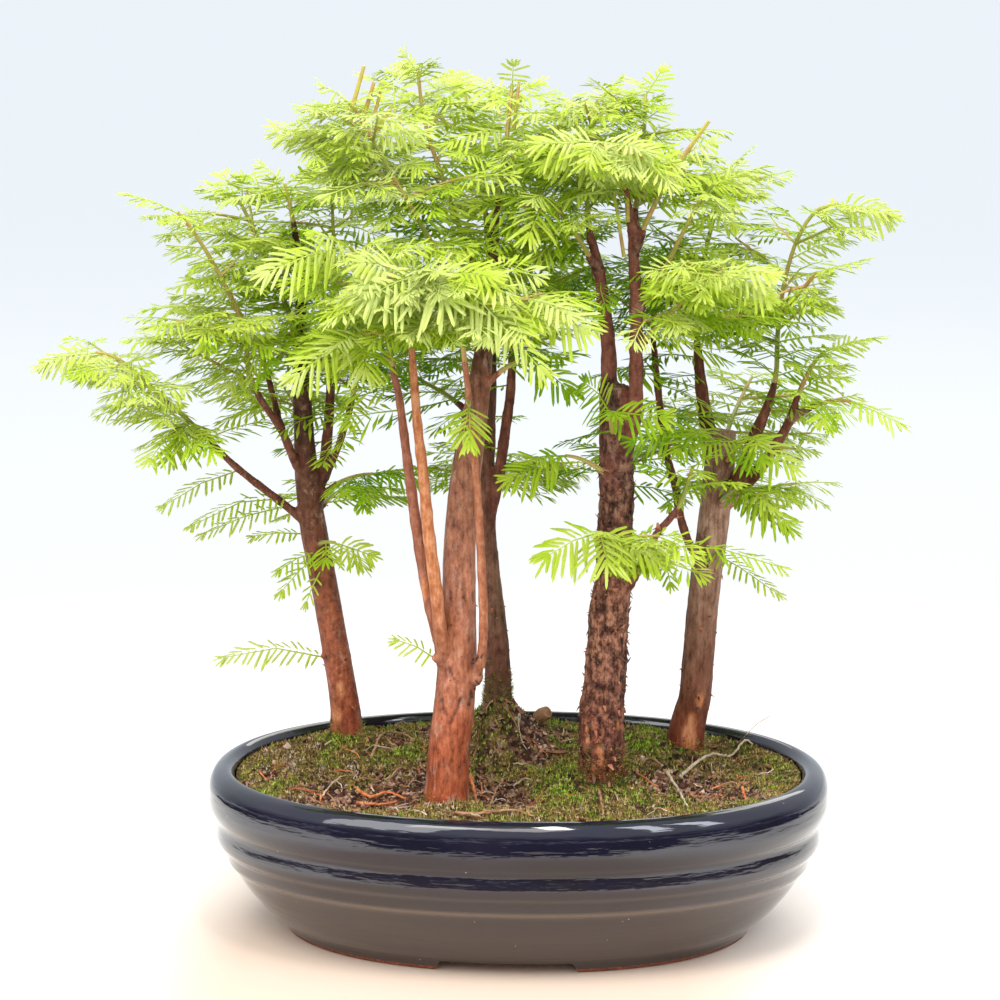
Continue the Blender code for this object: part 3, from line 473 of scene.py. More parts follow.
class Growth:
    """Points and faces of many small closed forms, which become one mesh at the end."""

    def __init__(self):
        self.points, self.faces, self.slots, self.count = [], [], [], 0

    def add(self, points, faces, slot=0):
        self.points.append(np.asarray(points, float))
        self.faces += [tuple(k + self.count for k in face) for face in faces]
        self.slots += [slot] * len(faces)
        self.count += len(points)

    def build(self, name, materials):
        mesh = bpy.data.meshes.new(name)
        mesh.from_pydata(np.concatenate(self.points).tolist(), [], self.faces)
        for finish in materials:
            mesh.materials.append(finish)
        mesh.polygons.foreach_set("material_index", self.slots)
        return new_object(name, mesh)


def inside_tray(chance, edge=0.985):
    """A place drawn evenly over the soil."""
    while True:
        x, y = chance.uniform(-1, 1), chance.uniform(-1, 1)
        if oval_reach(x, y) < edge:
            return MIDDLE + Vector((x * SOIL_EDGE * MM, y * SOIL_EDGE * MM * OVAL_RATIO, 0))


def add_tuft(growth, root, way, tall, wide, turn, slot=0):
    """A moss shoot as a slim three-sided spike."""
    corners = [root + Vector((math.cos(turn + a), math.sin(turn + a), 0)) * wide for a in (0, 2.094, 4.189)]
    faces = [(0, 1, 3), (1, 2, 3), (2, 0, 3), (2, 1, 0)]
    growth.add([*corners, root + way * tall], faces if way.z > 0 else [face[::-1] for face in faces], slot)


moss = Growth()
while moss.count < MOSS_SHOOTS * 4:
    root = inside_tray(chance)
    thick = noise.noise(Vector((root.x, root.y, 2.0)) * 95)
    thick += 0.6 * noise.noise(Vector((root.x, root.y, 3.0)) * 290)
    if chance.random() < max(bareness(root) * 1.3, 0.12 - 1.5 * thick):
        continue
    root.z = soil_height(root) - 0.4 * MM
    lean = Vector((chance.uniform(-0.6, 0.6), chance.uniform(-0.6, 0.6), 1)).normalized()
    x, y = seen_pixel(root)
    fresh = 0.42 + 0.8 * noise.noise(Vector((root.x, root.y, 5.0)) * 120) + chance.uniform(-0.22, 0.22)
    lush = sum(more * max(0.0, 1.2 - math.hypot((x - cx) / wide, (y - cy) / tall))
               for cx, cy, wide, tall, more in FRESH_MOSS)
    tall = chance.uniform(0.9, 2.0) * (1.2 + 1.1 * thick + max(0.0, lush)) * MM
    add_tuft(moss, root, lean, tall, chance.uniform(0.34, 0.6) * MM, chance.uniform(0, 2.1),
             sum(fresh + lush <= least for least in FRESHNESS))

# Moss is vivid green where it is wet and goes olive, ochre and then grey-brown as it dries; matt.
MOSS_TINTS = {"wet_moss": ("#2c420b", "#6c8a1c", "#b3c64a"), "olive_moss": ("#2c310f", "#727429", "#b0a757"),
              "ochre_moss": ("#433514", "#8e7237", "#c8ab70"), "dry_moss": ("#3d2f22", "#907964", "#d6c7b2")}
moss_finishes = [mottled(label, {"Scale": grain(1.79), "Detail": 3, "Roughness": 0.7},
                         list(zip((0.37, 0.5, 0.6), tints)), Roughness=0.75, Specular_IOR_Level=0.3)
                 for label, tints in MOSS_TINTS.items()]
moss_piece = moss.build("moss", moss_finishes)
finish_piece(moss_piece)


# The trees' wood: five dawn redwoods with tapering trunks, planted close together, cut back over the years.
# Bare brown limbs go up from them; the bark is smooth and red when young, and cracks and flakes with age.

# A trunk's points give pixels across and down, millimetres back, and radius in millimetres. A limb gives its
# bare length, its root's radius, and its points; what follows its bare wood is a green shoot of this year.
TREES = {
    "left": {
        "trunk": [(347, 738, 35, 7.3), (345, 705, 35, 6.2), (335, 645, 33, 5.8), (324, 585, 32, 5.7),
                  (313, 525, 31, 5.6), (307, 480, 30, 5.1), (304, 430, 29, 4.3), (301, 380, 28, 3.6),
                  (300, 330, 27, 2.9), (302, 285, 26, 2.3)],
        "crown": [(302, 285, 26), (297, 245, 25), (290, 205, 25), (280, 165, 27)],
        "limbs": {
            "low": (62, 1.75, [(313, 528, 31), (281, 502, 27), (236, 467, 19), (204, 435, 13), (163, 398, 5),
                               (112, 356, -3), (52, 352, -9)]),
            "lowside": (0, 1.1, [(190, 422, 10), (176, 430, -4), (162, 441, -16), (150, 450, -24)]),
            "mid": (50, 1.8, [(307, 478, 30), (296, 464, 25), (281, 429, 19), (261, 400, 14), (249, 372, 10),
                              (244, 330, 5), (225, 285, -1), (192, 230, -7), (148, 180, -13)]),
            "midlow": (0, 1.1, [(246, 345, 7), (222, 332, -5), (192, 322, -17), (158, 318, -25)]),
            "midback": (26, 1.3, [(281, 429, 19), (271, 388, 29), (258, 345, 43), (232, 300, 59),
                                  (204, 262, 73)]),
            "crownleft": (12, 1.7, [(300, 345, 27), (284, 300, 31), (262, 250, 37), (238, 199, 43),
                                    (208, 164, 47)]),
            "second": (78, 2.4, [(313, 515, 31), (323, 470, 33), (328, 430, 35), (331, 380, 36),
                                 (332, 330, 37), (334, 280, 39), (333, 225, 42), (330, 165, 46)]),
            "twig": (40, 1.6, [(324, 478, 33), (337, 450, 29), (348, 416, 25), (354, 391, 23), (362, 355, 17),
                               (366, 315, 9)]),
            "rightlow": (13, 1.4, [(316, 503, 31), (340, 482, 27), (375, 474, 21), (408, 488, 13)]),
            "frontlow": (9, 1.0, [(318, 548, 31), (321, 543, 22), (330, 542, 12), (348, 545, 2)]),
            "footspray": (4, 0.8, [(331, 660, 33), (318, 655, 30), (280, 646, 25), (232, 646, 21)]),
            "back": (16, 1.7, [(305, 440, 29), (300, 415, 45), (285, 388, 68), (264, 364, 91)]),
            "backlow": (14, 1.5, [(312, 520, 31), (328, 500, 49), (345, 488, 67), (358, 486, 85)]),
        },
    },
    "front": {
        "trunk": [(446, 808, -40, 8.6), (449, 748, -40, 8.5), (454, 708, -40, 8.4), (457, 665, -38, 7.8),
                  (459, 606, -38, 7.1), (460, 538, -36, 6.3), (465, 480, -36, 6.2), (473, 430, -34, 5.4),
                  (480, 380, -34, 4.5), (485, 340, -32, 3.7), (489, 300, -32, 3.0), (492, 262, -30, 2.4)],
        "crown": [(492, 262, -30), (498, 200, -30), (507, 135, -28), (514, 64, -26)],
        "limbs": {
            "orange": (138, 2.7, [(446, 664, -40), (440, 628, -48), (436, 590, -50), (429, 535, -52),
                                  (423, 473, -52), (418, 430, -54), (414, 380, -54), (411, 335, -56),
                                  (412, 298, -67), (421, 277, -90), (434, 270, -116)]),
            "brown": (120, 2.5, [(444, 652, -38), (434, 620, -42), (427, 590, -42), (418, 538, -42),
                                 (410, 480, -42), (404, 433, -42), (399, 397, -42), (391, 361, -44),
                                 (382, 315, -50), (365, 272, -60), (344, 240, -70), (318, 228, -78)]),
            "brownleft": (0, 1.2, [(386, 336, -46), (374, 332, -60), (358, 334, -72), (342, 342, -84)]),
            "frontright": (142, 1.9, [(468, 690, -40), (479, 668, -48), (483, 640, -52), (483, 600, -52),
                                      (480, 538, -52), (476, 476, -52), (470, 410, -54), (466, 372, -56),
                                      (464, 340, -62), (480, 312, -74), (520, 300, -90), (566, 302, -104)]),
            "hang": (8, 1.5, [(468, 412, -54), (468, 402, -62), (469, 402, -72), (469, 412, -82)]),
            "peakleft": (40, 2.1, [(485, 345, -32), (462, 300, -36), (430, 240, -40), (392, 175, -44),
                                   (356, 110, -46), (322, 66, -48)]),
            "outerleft": (0, 1.2, [(400, 188, -42), (370, 168, -38), (335, 140, -32), (290, 124, -28)]),
            "peakmid": (26, 2.0, [(489, 305, -32), (466, 245, -20), (443, 180, -12), (424, 118, -8),
                                  (416, 50, -6)]),
            "knob": (9, 1.2, [(450, 668, -40), (437, 660, -44), (424, 650, -48), (408, 642, -52),
                              (392, 640, -56)]),
            "midright": (13, 1.5, [(478, 392, -34), (505, 368, -42), (530, 358, -50), (556, 356, -58)]),
        },
    },
    "back": {
        "trunk": [(497, 724, 47, 6.8), (498, 690, 47, 6.0), (497, 645, 46, 5.1), (492, 591, 45, 4.4),
                  (487, 540, 44, 4.0), (486, 480, 44, 3.8), (487, 430, 43, 3.6), (489, 385, 42, 3.3),
                  (490, 330, 41, 2.7), (492, 280, 40, 2.2)],
        "crown": [(492, 280, 40), (486, 215, 44), (476, 150, 50), (462, 76, 54)],
        "limbs": {
            "fork": (102, 2.5, [(487, 540, 44), (491, 512, 41), (499, 475, 39), (505, 433, 37),
                                (510, 397, 36), (512, 366, 35), (514, 320, 35), (518, 285, 36),
                                (528, 235, 38), (542, 180, 42), (556, 124, 46)]),
            "left": (24, 1.8, [(488, 440, 43), (470, 414, 52), (445, 394, 62), (415, 376, 74),
                               (390, 352, 84)]),
            "low": (14, 1.6, [(490, 505, 44), (493, 482, 62), (502, 460, 84), (520, 445, 106)]),
            "high": (14, 1.6, [(489, 390, 42), (480, 352, 60), (466, 312, 84), (452, 284, 108)]),
            "right": (14, 1.6, [(490, 335, 41), (512, 296, 58), (542, 256, 80), (572, 222, 98)]),
        },
    },
    "middle": {
        "trunk": [(603, 778, -22, 9.6), (601, 724, -22, 9.1), (606, 665, -21, 8.5), (610, 607, -20, 8.0),
                  (614, 577, -20, 7.7), (616, 519, -19, 7.2), (616, 460, -18, 6.9), (615, 420, -17, 6.5),
                  (614, 386, -17, 6.1)],
        "limbs": {
            "leaderleft": (104, 3.6, [(613, 470, -18), (611, 425, -15), (609, 380, -13), (608, 342, -13),
                                      (603, 300, -13), (597, 260, -13), (590, 232, -13), (587, 195, -12),
                                      (590, 145, -10), (600, 82, -8)]),
            "leaderright": (118, 3.05, [(620, 470, -19), (629, 440, -22), (635, 412, -23), (636, 375, -23),
                                        (636, 314, -22), (634, 259, -22), (629, 208, -24), (621, 176, -34),
                                        (606, 150, -58), (588, 134, -90)]),
            "archleft": (11, 1.7, [(599, 272, -13), (577, 236, -30), (553, 202, -48), (532, 180, -64)]),
            "greenhigh": (9, 1.9, [(634, 252, -22), (650, 214, -24), (675, 168, -26), (696, 136, -28),
                                   (710, 118, -30)]),
            "greenright": (8, 1.9, [(636, 312, -22), (662, 274, -25), (687, 225, -30), (714, 184, -36),
                                    (748, 158, -42)]),
            "top": (9, 1.7, [(632, 230, -22), (640, 180, -6), (644, 134, 4), (646, 74, 10)]),
            "shoulder": (9, 1.7, [(636, 350, -22), (672, 312, -46), (714, 276, -66), (758, 258, -82)]),
            "handlow": (14, 1.6, [(612, 572, -20), (607, 554, -34), (602, 536, -54), (597, 522, -76)]),
            "midfan": (12, 1.6, [(615, 444, -18), (612, 428, -30), (609, 412, -46), (604, 402, -64)]),
            "wingleft": (13, 1.6, [(614, 485, -18), (598, 468, -30), (570, 456, -42), (534, 458, -56)]),
            "lowright": (47, 1.9, [(618, 602, -21), (634, 577, -24), (643, 560, -25), (655, 536, -25),
                                   (677, 510, -25), (688, 482, -30), (697, 452, -38)]),
            "lowout": (7, 1.2, [(650, 548, -25), (676, 544, -36), (724, 552, -52), (766, 580, -62)]),
            "back": (14, 1.6, [(615, 505, -19), (626, 476, 4), (640, 448, 30), (650, 430, 54)]),
        },
    },
    "right": {
        "trunk": [(684, 752, 26, 8.0), (689, 720, 26, 7.4), (695, 695, 24, 6.9), (700, 636, 24, 6.6),
                  (706, 577, 22, 6.5), (714, 519, 22, 6.6), (718, 478, 22, 6.6), (721, 450, 20, 6.1),
                  (723, 430, 20, 5.6)],
        "limbs": {
            "leader": (56, 3.2, [(716, 465, 22), (709, 432, 24), (703, 400, 26), (699, 365, 26),
                                 (697, 325, 28), (702, 270, 32), (716, 210, 36), (734, 150, 40)]),
            "rightup": (62, 3.3, [(716, 507, 22), (730, 498, 18), (741, 475, 14), (753, 440, 12),
                                  (768, 405, 10), (776, 375, 10), (778, 330, 10), (785, 280, 8),
                                  (798, 238, 4), (818, 210, 0), (850, 204, -4), (880, 214, -8)]),
            "rightmid": (0, 1.2, [(779, 318, 10), (800, 292, -4), (822, 268, -18), (842, 252, -28)]),
            "rightlow": (56, 2.7, [(728, 496, 18), (750, 480, 10), (770, 454, 6), (788, 424, 4),
                                   (799, 393, 2), (816, 360, -2), (840, 342, -6), (862, 342, -12)]),
            "rightout": (13, 1.5, [(790, 420, 4), (814, 406, 0), (842, 400, -6), (868, 408, -12)]),
            "leftstem": (104, 1.8, [(706, 562, 22), (691, 547, 18), (681, 519, 14), (676, 489, 14),
                                    (668, 460, 14), (662, 424, 14), (656, 370, 14), (653, 325, 14),
                                    (657, 285, 18), (664, 242, 24)]),
            "frontfan": (12, 1.6, [(721, 452, 20), (712, 440, 6), (702, 430, -12), (694, 426, -32)]),
            "fanright": (12, 1.6, [(719, 472, 22), (732, 455, 6), (743, 438, -12), (749, 428, -34)]),
            "frontlow": (12, 1.5, [(715, 510, 22), (726, 496, 6), (742, 488, -10), (762, 500, -26)]),
            "back": (15, 1.7, [(721, 455, 20), (730, 424, 42), (745, 390, 68), (763, 358, 94)]),
            "backlow": (15, 1.6, [(712, 535, 22), (722, 508, 42), (738, 484, 64), (758, 470, 84)]),
        },
    },
}
TIP_REACH = 18 * MM  # how far a shoot's last spray reaches past its stem
UPRIGHT_TIP_REACH = 8 * MM  # the same where the shoot stands upright
BURIED = 22 * MM  # how deep a trunk stands in the soil
CROWN_WOOD = 28 * MM
LEAFY_TRUNK = 235 * MM  # the height above which a trunk carries short sprays of its own
VOXEL = 0.95 * MM
# Relief in millimetres and its upright stretch; knots: pixels across and down, millimetres high and wide.
BARK_RELIEF = {"left": (0.22, 0.22), "front": (0.26, 0.2), "back": (0.34, 0.3), "middle": (0.85, 0.42),
               "right": (0.38, 0.3)}
KNOTS = {
    "left": [(338, 622, 0.9, 2.0), (343, 645, 0.8, 1.8), (346, 675, 0.7, 1.8), (318, 600, 0.5, 2.0)],
    "front": [(449, 690, 0.9, 3.4), (455, 672, 0.8, 3.0), (460, 690, 0.8, 3.0), (472, 545, 0.8, 2.0),
              (452, 644, 0.7, 1.6), (437, 668, 1.4, 2.0), (454, 594, 0.6, 2.0), (479, 680, 1.8, 2.6)],
    "back": [(508, 596, 1.0, 2.0), (508, 620, 0.7, 2.0)],
    "middle": [(580, 572, 1.6, 2.4), (634, 590, 2.0, 3.0), (625, 712, 1.4, 2.2), (580, 705, 1.2, 2.2),
               (604, 640, 0.9, 2.6)],
    "right": [(706, 534, 1.2, 1.8), (719, 606, 1.0, 1.8), (736, 505, 1.8, 4.2), (704, 575, 0.8, 2.4),
              (697, 692, 1.0, 1.8)],
}
# Cracks round the healed scar on the front trunk, and patches where bark came off and shows bright wood:
# pixels across and down; the patches' width in millimetres.
CRACKS = {"front": [[(442, 699), (443, 709), (447, 715)], [(461, 697), (458, 708), (453, 717), (450, 724)],
                    [(449, 668), (453, 677), (458, 684)]]}
BRIGHT_WOOD = {"middle": [(587, 730, 1.3), (588, 738, 1.2), (600, 750, 1.5), (600, 758, 1.4),
                          (618, 725, 1.2)],
               "right": [(689, 736, 3.4), (692, 722, 2.4), (700, 700, 1.8)],
               "left": [(336, 715, 3.0), (340, 690, 2.0)],
               "front": [(425, 589, 2.2)]}
# About how many loose scales of bark each tree has, the height in millimetres they reach, and their size.
FLAKES = {"left": (30, 150, 0.9), "front": (60, 150, 0.9), "back": (60, 150, 0.9), "middle": (700, 200, 1.25),
          "right": (150, 150, 0.9)}
FLAKE_TRIES = 6  # for each scale
FLAKE_SHARE = 0.17  # the share of the tries over the soil that take
FRAYED = {  # larger strips of bark that stand off, in pixels
    "front": [(472, 664), (476, 669), (480, 676), (478, 684), (474, 690), (471, 698), (483, 668), (476, 662),
              (468, 706), (481, 658)],
    "middle": [(585, 706), (624, 713), (627, 700), (584, 660), (629, 640), (588, 612)],
}
# The height in millimetres that moss climbs to on each trunk, and how many of its shoots at most.
CLIMBING_MOSS = {"left": (78, 500), "front": (68, 100), "back": (100, 1800), "middle": (84, 800),
                 "right": (74, 260)}


def smooth_path(points, step):
    """Points every step along one smooth curve through the given points, both ends included."""
    ends = [2 * points[0] - points[1], *points, 2 * points[-1] - points[-2]]
    fine = []
    for four in zip(ends, ends[1:], ends[2:], ends[3:]):
        fine += [curve_point(*four, k / 24) for k in range(24)]
    fine.append(points[-1])
    lengths = run_of(fine)
    count = max(2, round(lengths[-1] / step))
    return [point_along(fine, lengths, lengths[-1] * k / count) for k in range(count + 1)]


def run_of(points):
    """How far along a path each of its points is."""
    lengths = [0.0]
    for a, b in zip(points, points[1:]):
        lengths.append(lengths[-1] + (b - a).length)
    return lengths


def point_along(points, lengths, want):
    """The point that lies a wanted length along a path."""
    for k in range(1, len(points)):
        if lengths[k] >= want:
            share = (want - lengths[k - 1]) / max(lengths[k] - lengths[k - 1], 1e-9)
            return points[k - 1].lerp(points[k], share)
    return points[-1].copy()


def stretch(points, start, end, step):
    """The part of a dense path from one length to another, resampled."""
    lengths = run_of(points)
    end = min(end, lengths[-1])
    count = max(1, round((end - start) / step))
    return [point_along(points, lengths, start + (end - start) * k / count) for k in range(count + 1)]


def trunk_line(points):
    """A trunk's path from its foot in the soil to its top, and its radius at each point."""
    places = [sight(*point[:3]) for point in points]
    foot = places[0] - (places[1] - places[0]).normalized().lerp(UP, 0.6).normalized() * BURIED
    path = smooth_path([foot, *places], 5 * MM)
    heights = [foot.z, *(p.z for p in places)]
    sizes = [points[0][3] * 1.04, *(point[3] for point in points)]
    radii = [float(np.interp(p.z, heights, sizes)) * MM for p in path]
    return path, [r * (1 + 0.10 * math.exp(-max(0.0, p.z - 64 * MM) / (7 * MM))) for p, r in zip(path, radii)]


def tip_reach(path):
    """How far before its last point a stem ends and its tip's needles begin; an upright tip is short."""
    return TIP_REACH if (path[-1] - path[-9]).normalized().z < 0.8 else UPRIGHT_TIP_REACH


def limb_lines(limb):
    """A limb's bare wood and the green shoot after it: two paths, each with its radii."""
    bare, root_radius, points = limb
    dense = smooth_path([sight(*p) for p in points], 1 * MM)
    total = run_of(dense)[-1]
    end = max(total - tip_reach(dense), (bare + 16) * MM)
    if not bare:
        green = stretch(dense, 0, end, 4 * MM)
        return None, (green, np.linspace(1.1 * MM, 0.75 * MM, len(green)))
    wood = stretch(dense, 0, bare * MM + 1.5 * MM, 4 * MM)
    last_radius = min(root_radius, 1.25)
    last = len(wood) - 1
    radii = [(root_radius + (last_radius - root_radius) * (k / last) ** 2) * MM for k in range(last + 1)]
    radii = [r * (1 + 0.55 * math.exp(-k)) * (1.1 if k % 3 == 2 else 1.0) for k, r in enumerate(radii)]
    green = stretch(dense, bare * MM - 1 * MM, end, 4 * MM)
    return (wood, radii), (green, np.linspace(min(last_radius, 1.15) * MM, 0.7 * MM, len(green)))


def drawn_tubes(name, lines):
    """Round tapered stems drawn as curves, turned to meshes and joined into one object."""
    made = []
    for path, radii in lines:
        data = bpy.data.curves.new(name, "CURVE")
        data.dimensions = "3D"
        data.twist_mode = "MINIMUM"
        data.bevel_depth = 1.0
        data.bevel_resolution = 4
        data.use_fill_caps = True
        line = data.splines.new("POLY")
        line.points.add(len(path) - 1)
        for point, spot, radius in zip(line.points, path, radii):
            point.co = (*spot, 1)
            point.radius = radius
        made.append(new_object(name, data))
    pick(*made)
    bpy.ops.object.convert(target="MESH")
    bpy.ops.object.join()
    face_outward(0.01 * MM)
    return bpy.context.object


def seen_at(obj, across, down):
    """The point of a mesh that the front view shows at a pixel, or None."""
    hit, spot, _, _ = obj.ray_cast(EYE, (sight(across, down, 0) - EYE).normalized())
    return spot.copy() if hit else None


def bark_finish(name, tones, shades, patch_tint, patch_from, streak, twig_tones, moss_height, rough):
    """Bark in one material: tones up the tree, darkened by grain and fibres; worn patches, twigs and moss."""
    made, tree, shader, place = new_material(name, Roughness=rough, Specular_IOR_Level=0.3)
    height = add_node(tree, "SeparateXYZ", {"Vector": place}).outputs["Z"]
    tall = add_node(tree, "Mapping", {"Vector": place, "Scale": (1, 1, streak)})
    worn = add_node(tree, "TexNoise", {"Vector": tall, "Scale": grain(11.1), "Detail": 5, "Roughness": 0.62})
    rise = add_node(tree, "MapRange", {"Value": height, "From Min": 66 * MM, "From Max": 300 * MM,
                                       "To Min": -0.15, "To Max": 0.85})
    tone = add_node(tree, "Math", {0: worn, 1: 0.3, 2: rise}, operation="MULTIPLY_ADD")
    tone = add_node(tree, "ValToRGB", {"Fac": tone}, tones)
    flaws = add_node(tree, "TexNoise", {"Vector": tall, "Scale": grain(3.03), "Detail": 8, "Roughness": 0.74})
    long = add_node(tree, "Mapping", {"Vector": place, "Scale": (1, 1, 0.05)})
    fibre = add_node(tree, "TexNoise", {"Vector": long, "Scale": grain(1.22), "Detail": 3})
    both = add_node(tree, "Math", {0: flaws, 1: 0.78}, operation="MULTIPLY")
    both = add_node(tree, "Math", {0: fibre, 1: 0.22, 2: both}, operation="MULTIPLY_ADD")
    patch = add_node(tree, "TexNoise", {"Vector": tall, "Scale": grain(5.88), "Detail": 7, "Roughness": 0.7})
    patch = add_node(tree, "MapRange", {"Value": patch, "From Min": patch_from, "From Max": patch_from + 0.12,
                                        "To Max": 0.8})
    wood = add_node(tree, "Mix", {"Factor": patch, "A": tone, "B": patch_tint}, data_type="RGBA")
    shade = add_node(tree, "ValToRGB", {"Fac": both}, shades)
    wood = add_node(tree, "Mix", {"Factor": 1.0, "A": wood, "B": shade}, data_type="RGBA",
                    blend_type="MULTIPLY")
    young = add_node(tree, "ValToRGB", {"Fac": both}, twig_tones)
    fresh = add_node(tree, "ValToRGB", {"Fac": both},
                     [(0.35, "#86452a"), (0.48, "#b36d42"), (0.6, "#cb9068")])
    low = add_node(tree, "MapRange", {"Value": height, "From Min": moss_height * MM, "From Max": 60 * MM})
    damp = add_node(tree, "TexNoise", {"Vector": place, "Scale": grain(3.85), "Detail": 5, "Roughness": 0.7})
    mossy = add_node(tree, "Math", {0: damp, 1: low}, operation="ADD")
    mossy = add_node(tree, "MapRange", {"Value": mossy, "From Min": 0.95, "From Max": 1.15})
    twig, amber, crack = (add_node(tree, "Attribute", attribute_name=label).outputs["Fac"]
                          for label in ("twig", "amber", "crack"))
    for share, over in ((twig, young), (amber, fresh), (mossy, "#434a20"), (crack, "#472014")):
        wood = add_node(tree, "Mix", {"Factor": share, "A": wood, "B": over}, data_type="RGBA")
    bump = add_node(tree, "Bump", {"Height": both, "Strength": 0.8, "Distance": 0.8 * MM})
    connect(shader, {"Base Color": wood, "Normal": bump})
    return made


DARK_TWIG = [(0.35, "#3f2118"), (0.5, "#693b2c"), (0.65, "#8f5c48")]
SMOOTH = [(0.36, "#82736f"), (0.48, "#d2c8c5"), (0.6, "#ffffff")]
FISSURED = [(0.38, "#362b29"), (0.47, "#9d918e"), (0.57, "#ffffff")]
BARKS = {
    "left": bark_finish(
        "smooth_bark_left",
        # Dark brown towards the top: painted shade under the crown.
        [(0.0, "#9c4a2b"), (0.17, "#b06545"), (0.37, "#8a5236"), (0.5, "#65402d"), (0.8, "#4c3023")],
        SMOOTH, "#c49a80", 0.55, 0.8, DARK_TWIG, 72, 0.55),
    "front": bark_finish(
        "smooth_bark_front",
        [(0.0, "#ac5430"), (0.1, "#be6a45"), (0.2, "#b87354"), (0.42, "#c28467"), (0.6, "#a87356"),
         (0.8, "#6e4633")],
        SMOOTH, "#c6a28e", 0.52, 0.55, [(0.35, "#6a3928"), (0.5, "#955a42"), (0.65, "#b57c61")], 66, 0.55),
    "back": bark_finish(
        "brown_bark_back",
        [(0.05, "#665438"), (0.15, "#845743"), (0.3, "#99705a"), (0.5, "#805844"), (0.8, "#5d3d2f")],
        SMOOTH, "#7e6a50", 0.57, 0.5, DARK_TWIG, 92, 0.75),
    "middle": bark_finish(
        "flaking_bark_middle",
        [(0.0, "#84402b"), (0.08, "#9a6049"), (0.2, "#a9745b"), (0.3, "#b07c62"), (0.45, "#8a5c46"),
         (0.6, "#9c7764")],
        FISSURED, "#472a26", 0.49, 0.75, [(0.35, "#4c251c"), (0.5, "#7a483b"), (0.65, "#96614f")], 80, 0.85),
    "right": bark_finish(
        "fissured_bark_right",
        [(0.0, "#843f28"), (0.1, "#8b563c"), (0.2, "#8c6049"), (0.3, "#a17b63"), (0.45, "#c9a790"),
         (0.6, "#b5917c")],
        SMOOTH, "#8a6350", 0.59, 0.35, DARK_TWIG, 74, 0.75),
}


def off_line(x, y, line):
    """How many pixels a point is off a bent line."""
    best = 1e9
    for (ax, ay), (bx, by) in zip(line, line[1:]):
        t = ((x - ax) * (bx - ax) + (y - ay) * (by - ay)) / ((bx - ax) ** 2 + (by - ay) ** 2)
        t = min(1.0, max(0.0, t))
        best = min(best, math.hypot(ax + (bx - ax) * t - x, ay + (by - ay) * t - y))
    return best


def add_flake(growth, spot, normal, size, chance, slot, broad=1.0):
    """A scale of bark that peels: a thin wedge, fast at its foot, with a ragged lifted tip."""
    across = normal.cross(UP).normalized() * size * chance.uniform(0.25, 0.5) * broad
    up = across.cross(normal).normalized() * (chance.choice((-1, 1)) if broad == 1.0 else 1)
    tip = spot + up * size * chance.uniform(0.5, 1.0) + normal * size * chance.uniform(0.35, 0.85)
    foot = spot - normal * 0.4 * MM
    skin = normal * chance.uniform(0.25, 0.45) * MM
    points = [foot - across, foot + across, foot + across * 0.6 + skin * 2, foot - across * 0.6 + skin * 2,
              tip - across * 0.4, tip + across * 0.3]
    faces = [(0, 1, 2, 3), (3, 2, 5, 4), (0, 4, 5, 1), (1, 5, 2), (0, 3, 4)]
    middle = sum(points, Vector()) / 6
    a, b, c = (points[k] for k in faces[0][:3])
    if (b - a).cross(c - a).dot(a - middle) < 0:
        faces = [face[::-1] for face in faces]
    growth.add(points, faces, slot)


